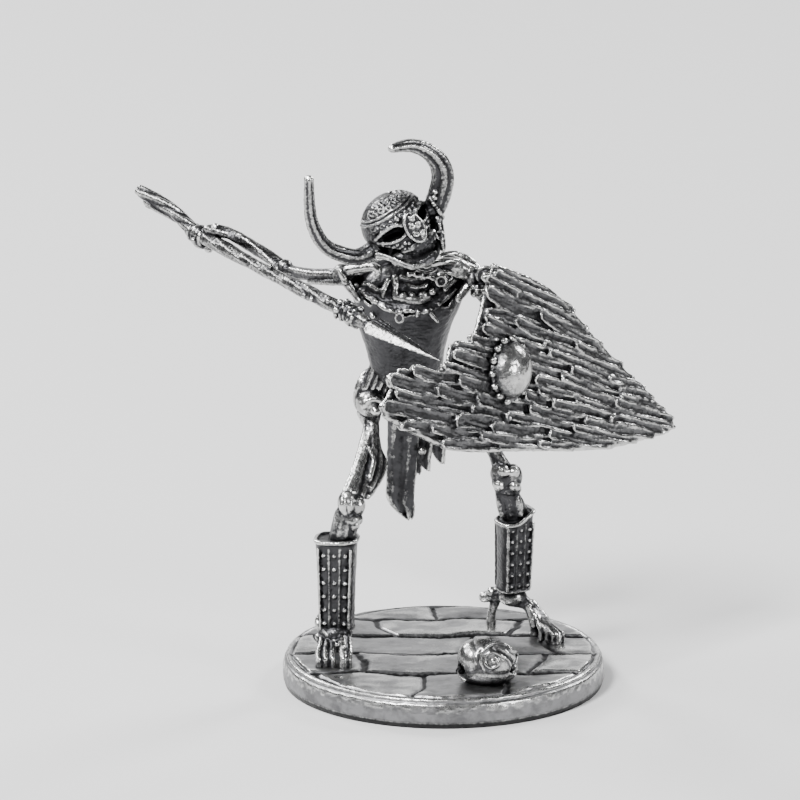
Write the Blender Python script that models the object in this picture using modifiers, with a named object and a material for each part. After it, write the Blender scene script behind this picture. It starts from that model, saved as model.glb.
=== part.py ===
"""Cast metal miniature: a horned skeleton warrior with a spear and a plank shield, on a round flagstone base.

Metres, +Z up. The origin is the centre of the base's underside. The viewer stands on the -Y side, so the figure's
own right hand is at -X. The figure's pose and anatomy are written in fiftieths of its own height, measured from the
top of the base, so that a whole figure keeps its proportions when FIGURE_HEIGHT is changed.
"""

import math
import random

import bmesh
import bpy
from mathutils import Matrix, Vector

# Driving sizes of the base
BASE_DIAMETER = 0.0300
BASE_HEIGHT = 0.0030
BASE_BULGE = 0.0004
JOINT_DEPTH = 0.00035
JOINT_WIDTH = 0.00045
SNAIL_LENGTH = 0.0058

# Driving sizes of the figure
FIGURE_HEIGHT = 0.0500
SPEAR_DIAMETER = 0.0014
BLADE_LENGTH = 0.0112
BLADE_WIDTH = 0.0023

# Driving sizes of the shield
SHIELD_LENGTH = 0.0388
SHIELD_WIDTH = 0.0176
SHIELD_THICKNESS = 0.0010
BOARD_WIDTH = 0.00105
BOSS_DIAMETER = 0.0047
BOSS_HEIGHT = 0.0019
BOSS_STUD = 0.00075
BOSS_STUD_COUNT = 11

# Clearances between castings
FOOT_GAP = 0.0003
GRIP_GAP = 0.0003
TIP_GAP = 0.0003

UNIT = FIGURE_HEIGHT / 50
FIGURE_VOXEL = 0.19 * UNIT
FIGURE_FACES = 0.041
SHIELD_VOXEL = 0.16 * SHIELD_THICKNESS
SHIELD_FACES = 0.025


def clear_scene():
    for thing in list(bpy.data.objects):
        bpy.data.objects.remove(thing, do_unlink=True)


def at(x, y, z):
    """A place on the figure, in fiftieths of its height above the stones it stands on."""
    return Vector((x, y, z)) * UNIT + Vector((0, 0, BASE_HEIGHT + FOOT_GAP))


def metal(name, colour, roughness):
    material = bpy.data.materials.new(name)
    material.use_nodes = True
    shader = material.node_tree.nodes["Principled BSDF"]
    shader.inputs["Base Color"].default_value = (*colour, 1)
    shader.inputs["Metallic"].default_value = 1.0
    shader.inputs["Roughness"].default_value = roughness
    return material


def new_object(name, mesh, collection):
    thing = bpy.data.objects.new(name, mesh)
    collection.objects.link(thing)
    return thing


def new_collection(name):
    collection = bpy.data.collections.new(name)
    bpy.context.scene.collection.children.link(collection)
    return collection


def smoothed(points, steps):
    """Places and radii along a rounded path through the given ones."""
    rows = [tuple(p) for p in points]
    rows = [rows[0]] + rows + [rows[-1]]
    path = []
    for a, b, c, d in zip(rows, rows[1:], rows[2:], rows[3:]):
        for step in range(steps):
            t = step / steps
            path.append([
                0.5 * (2 * q + (r - p) * t + (2 * p - 5 * q + 4 * r - s) * t * t + (3 * q - p - 3 * r + s) * t ** 3)
                for p, q, r, s in zip(a, b, c, d)
            ])
    path.append(list(rows[-1]))
    return path


class Clay:
    """Closed shapes that overlap, to be fused into one casting."""

    def __init__(self, name, collection):
        self.name = name
        self.collection = collection
        self.body = bmesh.new()
        self.wires = bpy.data.curves.new(name + "_wires", "CURVE")
        self.wires.dimensions = "3D"
        self.wires.bevel_depth = 1.0
        self.wires.bevel_resolution = 3
        self.wires.use_fill_caps = True

    def rod(self, points, steps=4):
        """A round bar through (place, radius) pairs, radii in figure units."""
        rows = smoothed([(*place, radius * UNIT) for place, radius in points], steps)
        spline = self.wires.splines.new("POLY")
        spline.points.add(len(rows) - 1)
        for point, (x, y, z, radius) in zip(spline.points, rows):
            point.co = (x, y, z, 1)
            point.radius = max(radius, 0.05 * UNIT)

    def bone(self, *stations, steps=4):
        """A rod through (x, y, z, radius) stations in figure units."""
        self.rod([(at(x, y, z), radius) for x, y, z, radius in stations], steps)

    def ball(self, centre, radii, turn=Matrix.Identity(3), fine=2):
        shape = Matrix.LocRotScale(centre, turn.to_quaternion(), Vector(radii))
        bmesh.ops.create_icosphere(self.body, subdivisions=fine, radius=1.0, matrix=shape)

    def knob(self, x, y, z, radius):
        self.ball(at(x, y, z), [radius * UNIT] * 3)

    def slab(self, centre, size, turn=Matrix.Identity(3), edge=0.0):
        shape = Matrix.LocRotScale(centre, turn.to_quaternion(), Vector(size))
        made = bmesh.ops.create_cube(self.body, size=1.0, matrix=shape)
        if edge:
            edges = list({e for v in made["verts"] for e in v.link_edges})
            bmesh.ops.bevel(self.body, geom=edges, offset=edge, segments=1, affect="EDGES")

    def loft(self, sections, sides=20):
        """Skin over rings of (centre, across, deep, power): power 2 is an ellipse, more is squarer."""
        rings = []
        for centre, across, deep, power in sections:
            ring = []
            for i in range(sides):
                angle = 2 * math.pi * i / sides
                c, s = math.cos(angle), math.sin(angle)
                reach = (abs(c) ** power + abs(s) ** power) ** (-1 / power)
                ring.append(self.body.verts.new(centre + across * (c * reach) + deep * (s * reach)))
            rings.append(ring)
        for low, high in zip(rings, rings[1:]):
            for i in range(sides):
                j = (i + 1) % sides
                self.body.faces.new((low[i], low[j], high[j], high[i]))
        self.body.faces.new(rings[0][::-1])
        self.body.faces.new(rings[-1])

    def fuse(self, material, voxel, faces):
        """One closed casting of everything that was put down."""
        wire_object = new_object(self.name + "_wires", self.wires, self.collection)
        bpy.context.view_layer.update()
        graph = bpy.context.evaluated_depsgraph_get()
        wire_mesh = bpy.data.meshes.new_from_object(wire_object.evaluated_get(graph))
        bpy.data.objects.remove(wire_object)
        if len(wire_mesh.vertices):
            wire_body = bmesh.new()
            wire_body.from_mesh(wire_mesh)
            bmesh.ops.remove_doubles(wire_body, verts=wire_body.verts, dist=1e-6)
            wire_body.to_mesh(wire_mesh)
            wire_body.free()
            self.body.from_mesh(wire_mesh)
        bmesh.ops.recalc_face_normals(self.body, faces=self.body.faces)
        mesh = bpy.data.meshes.new(self.name)
        self.body.to_mesh(mesh)
        self.body.free()
        mesh.materials.append(material)
        casting = new_object(self.name, mesh, self.collection)
        skin = casting.modifiers.new("Fuse", "REMESH")
        skin.mode = "VOXEL"
        skin.voxel_size = voxel
        skin.use_smooth_shade = True
        thin = casting.modifiers.new("Facets", "DECIMATE")
        thin.ratio = faces
        thin.use_collapse_triangulate = True
        bpy.context.view_layer.update()
        graph = bpy.context.evaluated_depsgraph_get()
        fused = bpy.data.meshes.new_from_object(casting.evaluated_get(graph))
        casting.modifiers.clear()
        casting.data = fused
        bpy.data.meshes.remove(mesh)
        keep_largest(fused)
        return casting


def keep_largest(mesh):
    """Drops the crumbs that thinning can leave beside the casting."""
    body = bmesh.new()
    body.from_mesh(mesh)
    groups = []
    seen = set()
    for start in body.verts:
        if start in seen:
            continue
        seen.add(start)
        group = [start]
        for vert in group:
            for edge in vert.link_edges:
                other = edge.other_vert(vert)
                if other not in seen:
                    seen.add(other)
                    group.append(other)
        groups.append(group)
    groups.sort(key=len)
    for crumb in groups[:-1]:
        bmesh.ops.delete(body, geom=crumb, context="VERTS")
    body.to_mesh(mesh)
    body.free()


def frame_of(facing, up):
    """Axes for a head, blade or board: columns are its own right, back and up."""
    back = -facing.normalized()
    up = (up - up.project(back)).normalized()
    return Matrix((back.cross(up), back, up)).transposed()


# The shield's plane: its planks run along SHIELD_ALONG, from the ragged end near the viewer to the point.
SHIELD_ALONG = Vector((0.680, 0.631, -0.374)).normalized()
SHIELD_FACE = Vector((0.720, -0.663, 0.191)).normalized()
SHIELD_UP = SHIELD_FACE.cross(SHIELD_ALONG)
LEFT_FIST = at(4.45, -5.75, 28.75)
LEFT_FIST_RADIUS = 0.95
SHIELD_CENTRE = LEFT_FIST + SHIELD_FACE * (LEFT_FIST_RADIUS * UNIT + GRIP_GAP + SHIELD_THICKNESS / 2)

# The spear runs from the right fist to a point just off the shield's front.
RIGHT_FIST = at(-22.78, 11.0, 36.7)
TIP_ALONG = -9.9
TIP_UP = -1.40


def on_shield(along, up, out=0.0):
    return SHIELD_CENTRE + SHIELD_ALONG * along + SHIELD_UP * up + SHIELD_FACE * out


SPEAR_TIP = on_shield(TIP_ALONG * UNIT, TIP_UP * UNIT, SHIELD_THICKNESS / 2 + TIP_GAP + 0.25 * UNIT)
SPEAR_LINE = (SPEAR_TIP - RIGHT_FIST).normalized()

HEAD_CENTRE = at(-3.80, -4.0, 41.8)
HEAD_AXES = frame_of(Vector((0.20, -0.97, 0.07)), Vector((-0.55, 0.23, 0.80)))


def in_head(x, y, z):
    """A place in the helmet's own frame: x to its left ear, y to its back, z to its crown."""
    return HEAD_CENTRE + HEAD_AXES @ Vector((x, y, z)) * UNIT


def add_legs(clay):
    # Right thigh: the bone and the torn strap that bulges off it
    clay.bone((-6.2, 3.4, 22.8, 1.0), (-6.9, 2.0, 21.2, 0.62), (-7.9, -0.9, 18.7, 0.56), (-8.9, -3.0, 15.6, 0.85))
    clay.bone((-6.4, 2.2, 21.0, 0.45), (-5.6, 0.4, 19.0, 0.42), (-5.7, -1.0, 17.4, 0.40), (-7.6, -2.7, 15.4, 0.55))
    clay.knob(-9.5, -3.6, 15.0, 0.95)
    clay.knob(-8.2, -3.4, 14.9, 0.90)
    clay.bone((-9.3, -3.3, 15.0, 0.9), (-9.2, -3.3, 13.8, 0.75), (-9.5, -3.0, 12.6, 0.85), (-9.7, -2.6, 11.0, 0.9))
    clay.knob(-9.9, -3.6, 13.7, 0.80)
    clay.knob(-8.4, -3.6, 13.5, 0.78)
    # Left thigh and knee
    clay.bone((2.2, 4.7, 22.4, 1.0), (3.2, 4.5, 20.2, 0.64), (4.6, 3.7, 17.6, 0.58), (5.6, 3.1, 15.8, 0.85))
    clay.knob(5.3, 2.9, 15.9, 0.92)
    clay.knob(6.5, 2.8, 15.6, 0.88)
    clay.knob(5.1, 3.1, 14.5, 0.75)
    clay.bone((5.9, 3.0, 15.4, 0.95), (6.0, 3.2, 13.9, 0.80), (6.4, 3.9, 12.4, 0.85), (6.6, 4.2, 11.0, 0.9))
    clay.knob(6.2, 2.6, 14.2, 0.75)


def add_greave(clay, top, bottom, widths, turn):
    """A stiff shin guard: a squarish tube with a rolled rim, three ribs down its front."""
    across = Matrix.Rotation(turn, 3, "Z") @ Vector((1, 0, 0))
    deep = Matrix.Rotation(turn, 3, "Z") @ Vector((0, 1, 0))
    rings = []
    for share, grow in ((0.0, 1.0), (0.25, 0.98), (0.5, 0.97), (0.75, 0.99), (0.93, 1.0), (0.94, 1.10), (1.0, 1.12)):
        centre = bottom.lerp(top, share)
        wide = (widths[0] + (widths[1] - widths[0]) * share) * grow * UNIT
        rings.append((centre, across * wide, deep * wide * 0.88, 3.2))
    clay.loft(rings, 24)
    down = (bottom - top)
    for offset in (-0.36, 0.36):
        start = top + down * 0.08
        rows = []
        for share in (0.0, 0.5, 1.0):
            wide = (widths[1] + (widths[0] - widths[1]) * share) * UNIT
            rows.append((start + down * 0.9 * share + across * wide * offset * 1.2 - deep * wide * 0.86, 0.17))
        clay.rod(rows, 1)


def add_foot(clay, ankle, heel, toes, spread, side):
    """Heel, ankle bones and a fan of toes on the stones."""
    clay.rod([(ankle, 0.95), (ankle.lerp(heel, 0.7), 0.80), (heel, 0.75)], 3)
    forward = (toes - ankle)
    forward.z = 0
    forward.normalize()
    sideways = Vector((-forward.y, forward.x, 0))
    for i in range(4):
        offset = (i - 1.5) * spread * UNIT
        length = 1.0 - 0.09 * (i if side > 0 else 3 - i)
        tip = ankle.lerp(toes, length) + sideways * offset
        tip.z = toes.z
        knuckle = ankle.lerp(tip, 0.62) + sideways * offset * 0.15
        knuckle.z = tip.z + 0.42 * UNIT
        clay.rod([(ankle + Vector((0, 0, -0.4 * UNIT)), 0.62), (knuckle, 0.45), (tip, 0.38)], 3)
    for end in (-1, 1):
        clay.ball(ankle + sideways * end * 1.0 * UNIT, [0.55 * UNIT] * 3)


def add_hips(clay):
    """Pelvis with its two wings, the spine above it and the loincloth behind the shield."""
    clay.ball(at(-2.2, 4.4, 22.6), [4.3 * UNIT, 1.6 * UNIT, 1.4 * UNIT])
    clay.bone((-6.7, 3.2, 22.6, 0.9), (-7.5, 3.0, 24.0, 0.68), (-6.4, 3.8, 25.2, 0.45), (-4.6, 4.6, 25.0, 0.4))
    clay.bone((1.9, 4.4, 22.6, 0.8), (2.4, 4.2, 24.0, 0.62), (1.7, 4.6, 25.2, 0.45), (-0.4, 4.9, 25.0, 0.4))
    clay.knob(-6.3, 1.9, 23.2, 1.1)
    clay.bone((-4.6, 4.4, 22.5, 0.9), (-5.0, 4.0, 24.6, 0.75), (-5.2, 3.6, 26.8, 0.8), (-4.4, 2.8, 28.6, 0.9))
    for i in range(3):
        clay.knob(-4.9 - 0.15 * i, 4.0 - 0.25 * i, 23.9 + 1.05 * i, 0.98)
    add_strip(clay, at(-3.85, 4.6, 21.8), at(-3.7, 5.0, 11.4), 1.5, 0.55)
    add_strip(clay, at(-1.7, 5.2, 21.6), at(-1.5, 6.0, 15.1), 0.75, 0.40)
    add_strip(clay, at(-0.7, 5.4, 21.0), at(-0.5, 6.4, 15.7), 0.75, 0.55)
    clay.knob(-2.0, 4.6, 17.6, 0.5)


def add_strip(clay, top, tip, half_width, tip_share):
    """A torn tongue of cloth, thick enough to cast, that narrows to its tip with a fold down the middle."""
    rings = []
    for i in range(7):
        share = i / 6
        wide = half_width * (1 - (1 - tip_share) * share) * (0.45 if i == 6 else 1)
        sway = 0.25 * math.sin(3.1 * share + half_width)
        centre = top.lerp(tip, share) + Vector((sway * UNIT, 0.3 * math.sin(4 * share) * UNIT, 0))
        rings.append((centre, Vector((wide * UNIT, 0, 0)), Vector((0, 0.36 * UNIT, 0)), 2.2))
    clay.loft(rings, 12)
    clay.rod([(top + Vector((0, -0.3 * UNIT, 0)), 0.28), (top.lerp(tip, 0.9) + Vector((0, -0.25 * UNIT, 0)), 0.2)], 3)


def add_torso(clay):
    """The jerkin narrows to the waist, leans to the front, and leaves the collar bones and upper ribs bare."""
    rows = (
        (-3.55, 2.9, 25.9, 3.15, 2.3), (-3.5, 2.6, 26.6, 3.45, 2.5), (-3.55, 1.9, 28.6, 3.75, 2.75),
        (-3.60, 1.0, 31.0, 4.35, 3.0), (-3.35, 0.3, 32.8, 4.85, 3.1), (-3.2, -0.1, 33.9, 5.35, 3.0),
    )
    rings = []
    for x, y, z, wide, deep in rows:
        rings.append((at(x, y, z), Vector((wide * UNIT, 0, 0)), Vector((0, deep * UNIT, 0.35 * UNIT)), 2.3))
    clay.loft(rings, 28)
    # Back yoke and shoulder blades carry the collar bones
    clay.ball(at(-3.2, 1.2, 34.6), [5.0 * UNIT, 1.6 * UNIT, 2.3 * UNIT])
    # Torn neckline
    for i in range(13):
        angle = math.pi * (0.04 + 0.92 * i / 12)
        reach = 0.35 * math.sin(5 * angle)
        clay.knob(-3.25 - 4.9 * math.cos(angle), -0.1 - 2.85 * math.sin(angle), 33.7 + reach, 0.48)
    # Ribs, breast bone and the bare chest inside the neckline
    clay.bone((-3.3, -1.9, 33.4, 0.7), (-3.2, -2.2, 34.6, 0.55), (-3.1, -1.7, 36.0, 0.5))
    for i in range(3):
        z = 33.9 + 0.95 * i
        wide = 3.2 - 0.45 * i
        for side in (-1, 1):
            clay.bone((-3.2, -2.0 + 0.2 * i, z, 0.36), (-3.2 + side * wide * 0.6, -2.1 + 0.2 * i, z + 0.2, 0.36),
                      (-3.2 + side * wide, -0.6, z + 0.6, 0.36), (-3.2 + side * wide * 0.9, 0.9, z + 0.9, 0.4))
    # Collar bones
    clay.bone((-5.9, -2.8, 37.6, 0.55), (-6.6, -2.3, 37.4, 0.42), (-8.0, -1.4, 36.7, 0.55), (-9.2, -0.8, 36.0, 0.8))
    clay.bone((-3.9, -2.0, 36.2, 0.45), (-1.6, -2.9, 37.5, 0.45), (-0.2, -2.9, 37.9, 0.55), (2.7, -1.2, 36.2, 0.85))
    clay.bone((-8.9, 0.2, 35.9, 0.9), (-6.4, 1.2, 36.0, 0.8), (-3.2, 1.4, 36.2, 0.9), (0.2, 1.0, 36.2, 0.8),
              (2.5, 0.0, 35.7, 0.9))
    clay.bone((2.3, -1.6, 36.0, 0.7), (1.6, -2.6, 34.6, 0.6), (1.2, -2.7, 33.6, 0.55))
    clay.bone((-8.9, -0.8, 35.8, 0.8), (-8.3, -1.6, 34.4, 0.65), (-7.9, -1.9, 33.6, 0.55))
    # Neck
    clay.bone((-3.1, 0.8, 35.4, 1.05), (-3.0, 0.1, 37.2, 0.85), (-3.3, -1.6, 39.2, 1.0), (-3.6, -2.8, 40.6, 1.3))


def add_head(clay):
    """Skull in a spectacle helmet: dome, brow, nose guard, cheek guards, open jaw and two horns."""
    # Dome, open in front below the brow
    rings = []
    for z, wide, deep, back in ((-1.0, 3.25, 3.5, 0.5), (0.1, 3.45, 3.8, 0.4), (1.0, 3.25, 3.6, 0.35),
                                (1.8, 2.75, 3.1, 0.3), (2.4, 2.0, 2.3, 0.3), (2.75, 0.9, 1.1, 0.3)):
        rings.append((in_head(0, back, z), HEAD_AXES @ Vector((wide * UNIT, 0, 0)),
                      HEAD_AXES @ Vector((0, deep * UNIT, 0)), 2.1))
    clay.loft(rings, 24)
    # Brow band, peaked over the nose
    brow = []
    for i in range(11):
        angle = math.radians(-75 + 15 * i)
        lift = 0.35 * math.cos(angle) ** 4
        brow.append((in_head(3.35 * math.sin(angle), 0.35 - 3.80 * math.cos(angle), 0.95 + lift), 0.40))
    clay.rod(brow, 2)
    # Spectacle rims
    for side in (-1, 1):
        rim = []
        for i in range(13):
            angle = 2 * math.pi * i / 12
            rim.append((in_head(side * (1.70 + 1.15 * math.cos(angle)), -3.35 + 0.55 * abs(math.cos(angle)),
                                -0.05 + 0.80 * math.sin(angle)), 0.30))
        clay.rod(rim, 1)
    clay.ball(in_head(0.1, -3.75, -0.45), [1.05 * UNIT, 0.50 * UNIT, 1.15 * UNIT], HEAD_AXES)
    # Cheek guards and ear flaps
    for side in (-1, 1):
        clay.rod([(in_head(side * 2.7, -2.2, -0.8), 0.60), (in_head(side * 2.2, -2.8, -1.4), 0.60),
                  (in_head(side * 1.5, -3.1, -1.8), 0.40)], 3)
        clay.rod([(in_head(side * 3.1, -0.9, -0.6), 0.60), (in_head(side * 2.9, -1.2, -1.8), 0.55),
                  (in_head(side * 2.4, -1.5, -2.9), 0.40)], 3)
    # Back of the skull
    clay.ball(in_head(0, 0.9, -1.2), [2.7 * UNIT, 2.6 * UNIT, 1.8 * UNIT], HEAD_AXES)
    # Upper teeth, jaw and chin round an open mouth
    clay.rod([(in_head(-1.4, -2.4, -1.8), 0.55), (in_head(0, -2.9, -1.9), 0.60), (in_head(1.4, -2.4, -1.8), 0.55)], 3)
    jaw = []
    for x, y, z, radius in ((-2.6, 0.0, -1.4, 0.5), (-2.5, -0.9, -2.6, 0.45), (-1.7, -2.1, -3.6, 0.5),
                            (-0.4, -2.6, -4.0, 0.56), (0.8, -2.2, -3.8, 0.5), (1.9, -0.9, -2.8, 0.45),
                            (2.4, 0.0, -1.6, 0.5)):
        jaw.append((in_head(x, y, z), radius))
    clay.rod(jaw, 3)
    # Horns: one sweeps up and over, the other stands up and is slimmer
    for stations in (
        ((1.8, 0.3, -0.5, 1.10), (3.2, 0.2, -0.1, 1.06), (4.9, 0.0, 1.3, 0.98), (6.2, -0.3, 3.3, 0.82),
         (6.1, -0.5, 5.0, 0.66), (4.8, -0.9, 6.7, 0.48), (2.5, -1.6, 7.5, 0.24)),
        ((-3.0, 0.3, -0.7, 0.72), (-4.8, 0.1, -0.35, 0.64), (-5.7, -0.1, 0.25, 0.62), (-6.9, -0.5, 1.9, 0.57),
         (-7.3, -1.1, 3.6, 0.50), (-6.9, -1.9, 5.9, 0.44), (-5.6, -2.7, 8.9, 0.34)),
    ):
        clay.rod([(in_head(x, y, z), radius) for x, y, z, radius in stations], 4)
    for side in (-1, 1):
        clay.rod([(in_head(side * 2.9, 0.2, -0.5), 1.0), (in_head(side * 3.5, 0.2, -0.5), 1.1)], 1)


def add_right_arm(clay):
    """Upper arm and two forearm bones, drawn back, with the fist round the shaft."""
    clay.knob(-9.2, -0.5, 36.1, 1.0)
    clay.bone((-9.0, -0.5, 36.0, 0.85), (-10.6, 1.2, 35.5, 0.60), (-13.0, 4.2, 34.8, 0.58), (-14.8, 6.0, 34.6, 0.75))
    clay.knob(-14.9, 6.2, 34.7, 0.88)
    clay.bone((-15.0, 6.2, 34.9, 0.55), (-17.0, 7.6, 36.2, 0.40), (-19.6, 9.0, 37.3, 0.40), (-21.9, 10.2, 37.5, 0.55))
    clay.bone((-15.1, 6.0, 34.4, 0.5), (-17.3, 7.4, 35.5, 0.38), (-19.9, 9.0, 36.6, 0.38), (-22.0, 10.3, 36.9, 0.55))
    side = SPEAR_LINE.cross(Vector((0, 0, 1))).normalized()
    up = side.cross(SPEAR_LINE)
    clay.ball(RIGHT_FIST, [1.15 * UNIT] * 3)
    for i in range(4):
        centre = RIGHT_FIST + SPEAR_LINE * (i - 1.5) * 0.62 * UNIT
        finger = []
        for j in range(7):
            angle = math.radians(150 - 45 * j)
            reach = (SPEAR_DIAMETER / 2 + 0.30 * UNIT)
            finger.append((centre + (side * math.cos(angle) + up * math.sin(angle)) * reach, 0.33))
        clay.rod(finger, 2)


def add_spear(clay):
    """Gnarled shaft, bound socket, leaf blade with a midrib, and a butt that has split in two."""
    side = SPEAR_LINE.cross(Vector((0, 0, 1))).normalized()
    up = side.cross(SPEAR_LINE)
    root = SPEAR_TIP - SPEAR_LINE * BLADE_LENGTH
    start = RIGHT_FIST - SPEAR_LINE * 1.2 * UNIT
    radius = SPEAR_DIAMETER / 2 / UNIT
    shaft = []
    for i in range(15):
        share = i / 14
        wave = (side * math.sin(7 * share) + up * math.cos(5.3 * share)) * 0.14 * UNIT
        swell = 1 + 0.10 * math.sin(11 * share)
        shaft.append((start.lerp(root, share) + wave * math.sin(math.pi * share), radius * swell))
    clay.rod(shaft, 2)
    clay.rod([(root - SPEAR_LINE * 1.7 * UNIT, radius * 1.05), (root - SPEAR_LINE * 0.9 * UNIT, radius * 1.35),
              (root, radius * 1.25), (root + SPEAR_LINE * 0.8 * UNIT, radius * 0.8)], 3)
    # Blade: flat to the viewer
    across = SPEAR_LINE.cross(Vector((0.1, -0.96, 0.28))).normalized()
    out = across.cross(SPEAR_LINE)
    rings = []
    for share, wide in ((0.0, 0.45), (0.12, 0.85), (0.28, 1.0), (0.55, 0.78), (0.8, 0.42), (1.0, 0.12)):
        centre = root.lerp(SPEAR_TIP, share)
        thick = 0.50 * (1 - 0.62 * share) * UNIT
        rings.append((centre, across * BLADE_WIDTH / 2 * wide, out * thick, 1.15))
    clay.loft(rings, 12)
    # Split butt
    for drop, ends in ((0.0, (-27.9, 16.4, 38.7)), (0.5, (-29.1, 17.4, 40.1))):
        mid = at(-25.0 - drop, 13.6 + drop * 0.6, 37.9 + drop * 1.4)
        clay.rod([(RIGHT_FIST + SPEAR_LINE * 0.5 * UNIT, radius * 0.9), (RIGHT_FIST.lerp(mid, 0.5), radius * 0.72),
                  (mid, radius * 0.66), (at(*ends), radius * 0.52)], 4)


def add_left_arm(clay):
    """Armour knobs at the shoulder, then the arm behind the shield to a fist at its boss."""
    clay.knob(2.7, -1.4, 35.9, 1.1)
    clay.knob(3.2, -2.6, 35.1, 0.95)
    clay.knob(3.9, -2.2, 36.7, 1.05)
    clay.bone((2.6, -1.0, 35.6, 0.9), (4.2, 0.8, 32.9, 0.60), (5.8, 2.8, 30.4, 0.58), (6.3, 3.4, 29.3, 0.80))
    clay.knob(6.3, 3.4, 29.2, 0.92)
    wrist = LEFT_FIST.lerp(at(6.3, 3.4, 29.2), 0.08)
    for lift in (-0.32, 0.32):
        offset = Vector((0, 0, lift * UNIT))
        clay.rod([(at(6.3, 3.2, 29.1) + offset, 0.50), (LEFT_FIST.lerp(at(6.3, 3.4, 29.2), 0.5) + offset, 0.38),
                  (wrist + offset, 0.50)], 4)
    clay.ball(LEFT_FIST, [LEFT_FIST_RADIUS * UNIT] * 3)
    for i in range(4):
        centre = LEFT_FIST + SHIELD_UP * (i - 1.5) * 0.55 * UNIT - SHIELD_FACE * 0.25 * UNIT
        clay.rod([(centre - SHIELD_ALONG * 0.75 * UNIT, 0.30), (centre + SHIELD_FACE * 0.35 * UNIT, 0.30),
                  (centre + SHIELD_ALONG * 0.75 * UNIT, 0.30)], 3)


def make_figure(collection, material):
    clay = Clay("skeleton_warrior", collection)
    add_legs(clay)
    add_greave(clay, at(-9.9, -2.7, 11.3), at(-9.95, -1.1, 2.1), (1.62, 1.95), math.radians(-8))
    add_greave(clay, at(6.65, 3.9, 11.5), at(6.5, 5.9, 3.5), (1.45, 1.62), math.radians(25))
    add_foot(clay, at(-9.95, -1.3, 1.7), at(-9.9, 0.1, 0.75), at(-10.5, -5.3, 0.4), 0.85, 1)
    add_foot(clay, at(6.3, 6.0, 2.9), at(3.95, 7.5, 2.2), at(10.2, 3.0, 0.38), 0.75, -1)
    add_hips(clay)
    add_torso(clay)
    add_head(clay)
    add_right_arm(clay)
    add_spear(clay)
    add_left_arm(clay)
    return clay.fuse(material, FIGURE_VOXEL, FIGURE_FACES)


# The shield's outline in shares of its length and width from the boss, clockwise from the top of its ragged end.
OUTLINE = (
    (-0.095, 0.500), (0.036, 0.480), (0.145, 0.425), (0.302, 0.245), (0.457, 0.090), (0.598, -0.063),
    (0.515, -0.166), (0.349, -0.290), (0.077, -0.410), (-0.163, -0.497), (-0.395, -0.430),
    (-0.404, -0.380), (-0.368, -0.165), (-0.213, -0.130), (-0.206, 0.035), (-0.136, 0.050), (-0.122, 0.190),
    (-0.113, 0.335),
)
POINT_SHARE = 0.598
POINT_UP_SHARE = -0.063
FAN_SHARE = -0.13
FAN = 0.42


def inside_outline(along, up):
    crossings = 0
    for (a, b), (c, d) in zip(OUTLINE, OUTLINE[1:] + OUTLINE[:1]):
        if (b > up) != (d > up) and along < a + (c - a) * (up - b) / (d - b):
            crossings += 1
    return crossings % 2 == 1


def fanned(along, up):
    """Boards draw together towards the shield's point; both values are shares."""
    narrow = 1 - FAN * (along - FAN_SHARE) / (POINT_SHARE - FAN_SHARE)
    return POINT_UP_SHARE + (up - POINT_UP_SHARE) * narrow


def make_shield(collection, material):
    """Split boards nailed side by side along the shield, drawn together to its point, with a studded boss."""
    chance = random.Random(7)
    clay = Clay("shield", collection)
    rows = round(SHIELD_WIDTH / BOARD_WIDTH)
    steps = 90
    for row in range(rows):
        lane = (row + 0.5) / rows - 0.5
        marks = [i / steps * 1.04 - 0.42 for i in range(steps + 1)]
        held = [mark for mark in marks if inside_outline(mark, fanned(mark, lane))]
        if not held:
            continue
        start = held[0] + chance.uniform(-0.4, 0.5) / rows
        length = held[-1] - start + 0.3 / rows
        count = max(1, min(3, round(length * SHIELD_LENGTH / BOARD_WIDTH / 9)))
        for i in range(count):
            low = start + length * i / count - 0.004
            high = start + length * (i + 1) / count + 0.004
            thick = SHIELD_THICKNESS * chance.uniform(0.78, 1.0)
            lift = (SHIELD_THICKNESS - thick) / 2 * chance.choice((-1, 1))
            lean = chance.uniform(-0.12, 0.12) / rows
            rings = []
            for share, full in ((0.0, 0.80), (0.04, 1.0), (0.5, 1.0), (0.96, 1.0), (1.0, 0.80)):
                along = low + (high - low) * share
                up = fanned(along, lane) + lean * (share - 0.5)
                wide = (fanned(along, lane + 0.5 / rows) - fanned(along, lane - 0.5 / rows)) * 0.60 * full
                rings.append((on_shield(along * SHIELD_LENGTH, up * SHIELD_WIDTH, lift),
                              SHIELD_FACE * thick / 2 * full, SHIELD_UP * wide * SHIELD_WIDTH, 5.0))
            clay.loft(rings, 12)
    # Boss
    rings = []
    foot = SHIELD_THICKNESS / 2
    for i in range(7):
        angle = math.radians(15 * i)
        wide = BOSS_DIAMETER / 2 * math.cos(angle) + 0.00002
        rings.append((on_shield(0, 0, foot + (BOSS_HEIGHT - 0.0002) * math.sin(angle)), SHIELD_ALONG * wide,
                      SHIELD_UP * wide, 2.0))
    clay.loft([(on_shield(0, 0, 0), SHIELD_ALONG * BOSS_DIAMETER / 2, SHIELD_UP * BOSS_DIAMETER / 2, 2.0)] + rings, 20)
    reach = BOSS_DIAMETER / 2 + BOSS_STUD * 0.40
    for i in range(BOSS_STUD_COUNT):
        angle = 2 * math.pi * i / BOSS_STUD_COUNT
        place = on_shield(reach * math.cos(angle), reach * math.sin(angle), foot + BOSS_STUD * 0.15)
        clay.ball(place, [BOSS_STUD / 2] * 3, fine=1)
    return clay.fuse(material, SHIELD_VOXEL, SHIELD_FACES)


# Flagstones: the course edges run across the base, and each course has its own cross joints, all as shares of the
# base's radius.
COURSES = (-1.0, -0.41, 0.11, 0.62, 1.0)
CROSS_JOINTS = ((-0.20, 0.38), (-0.43, 0.45), (-0.37, 0.22), (-0.10,))


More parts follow.
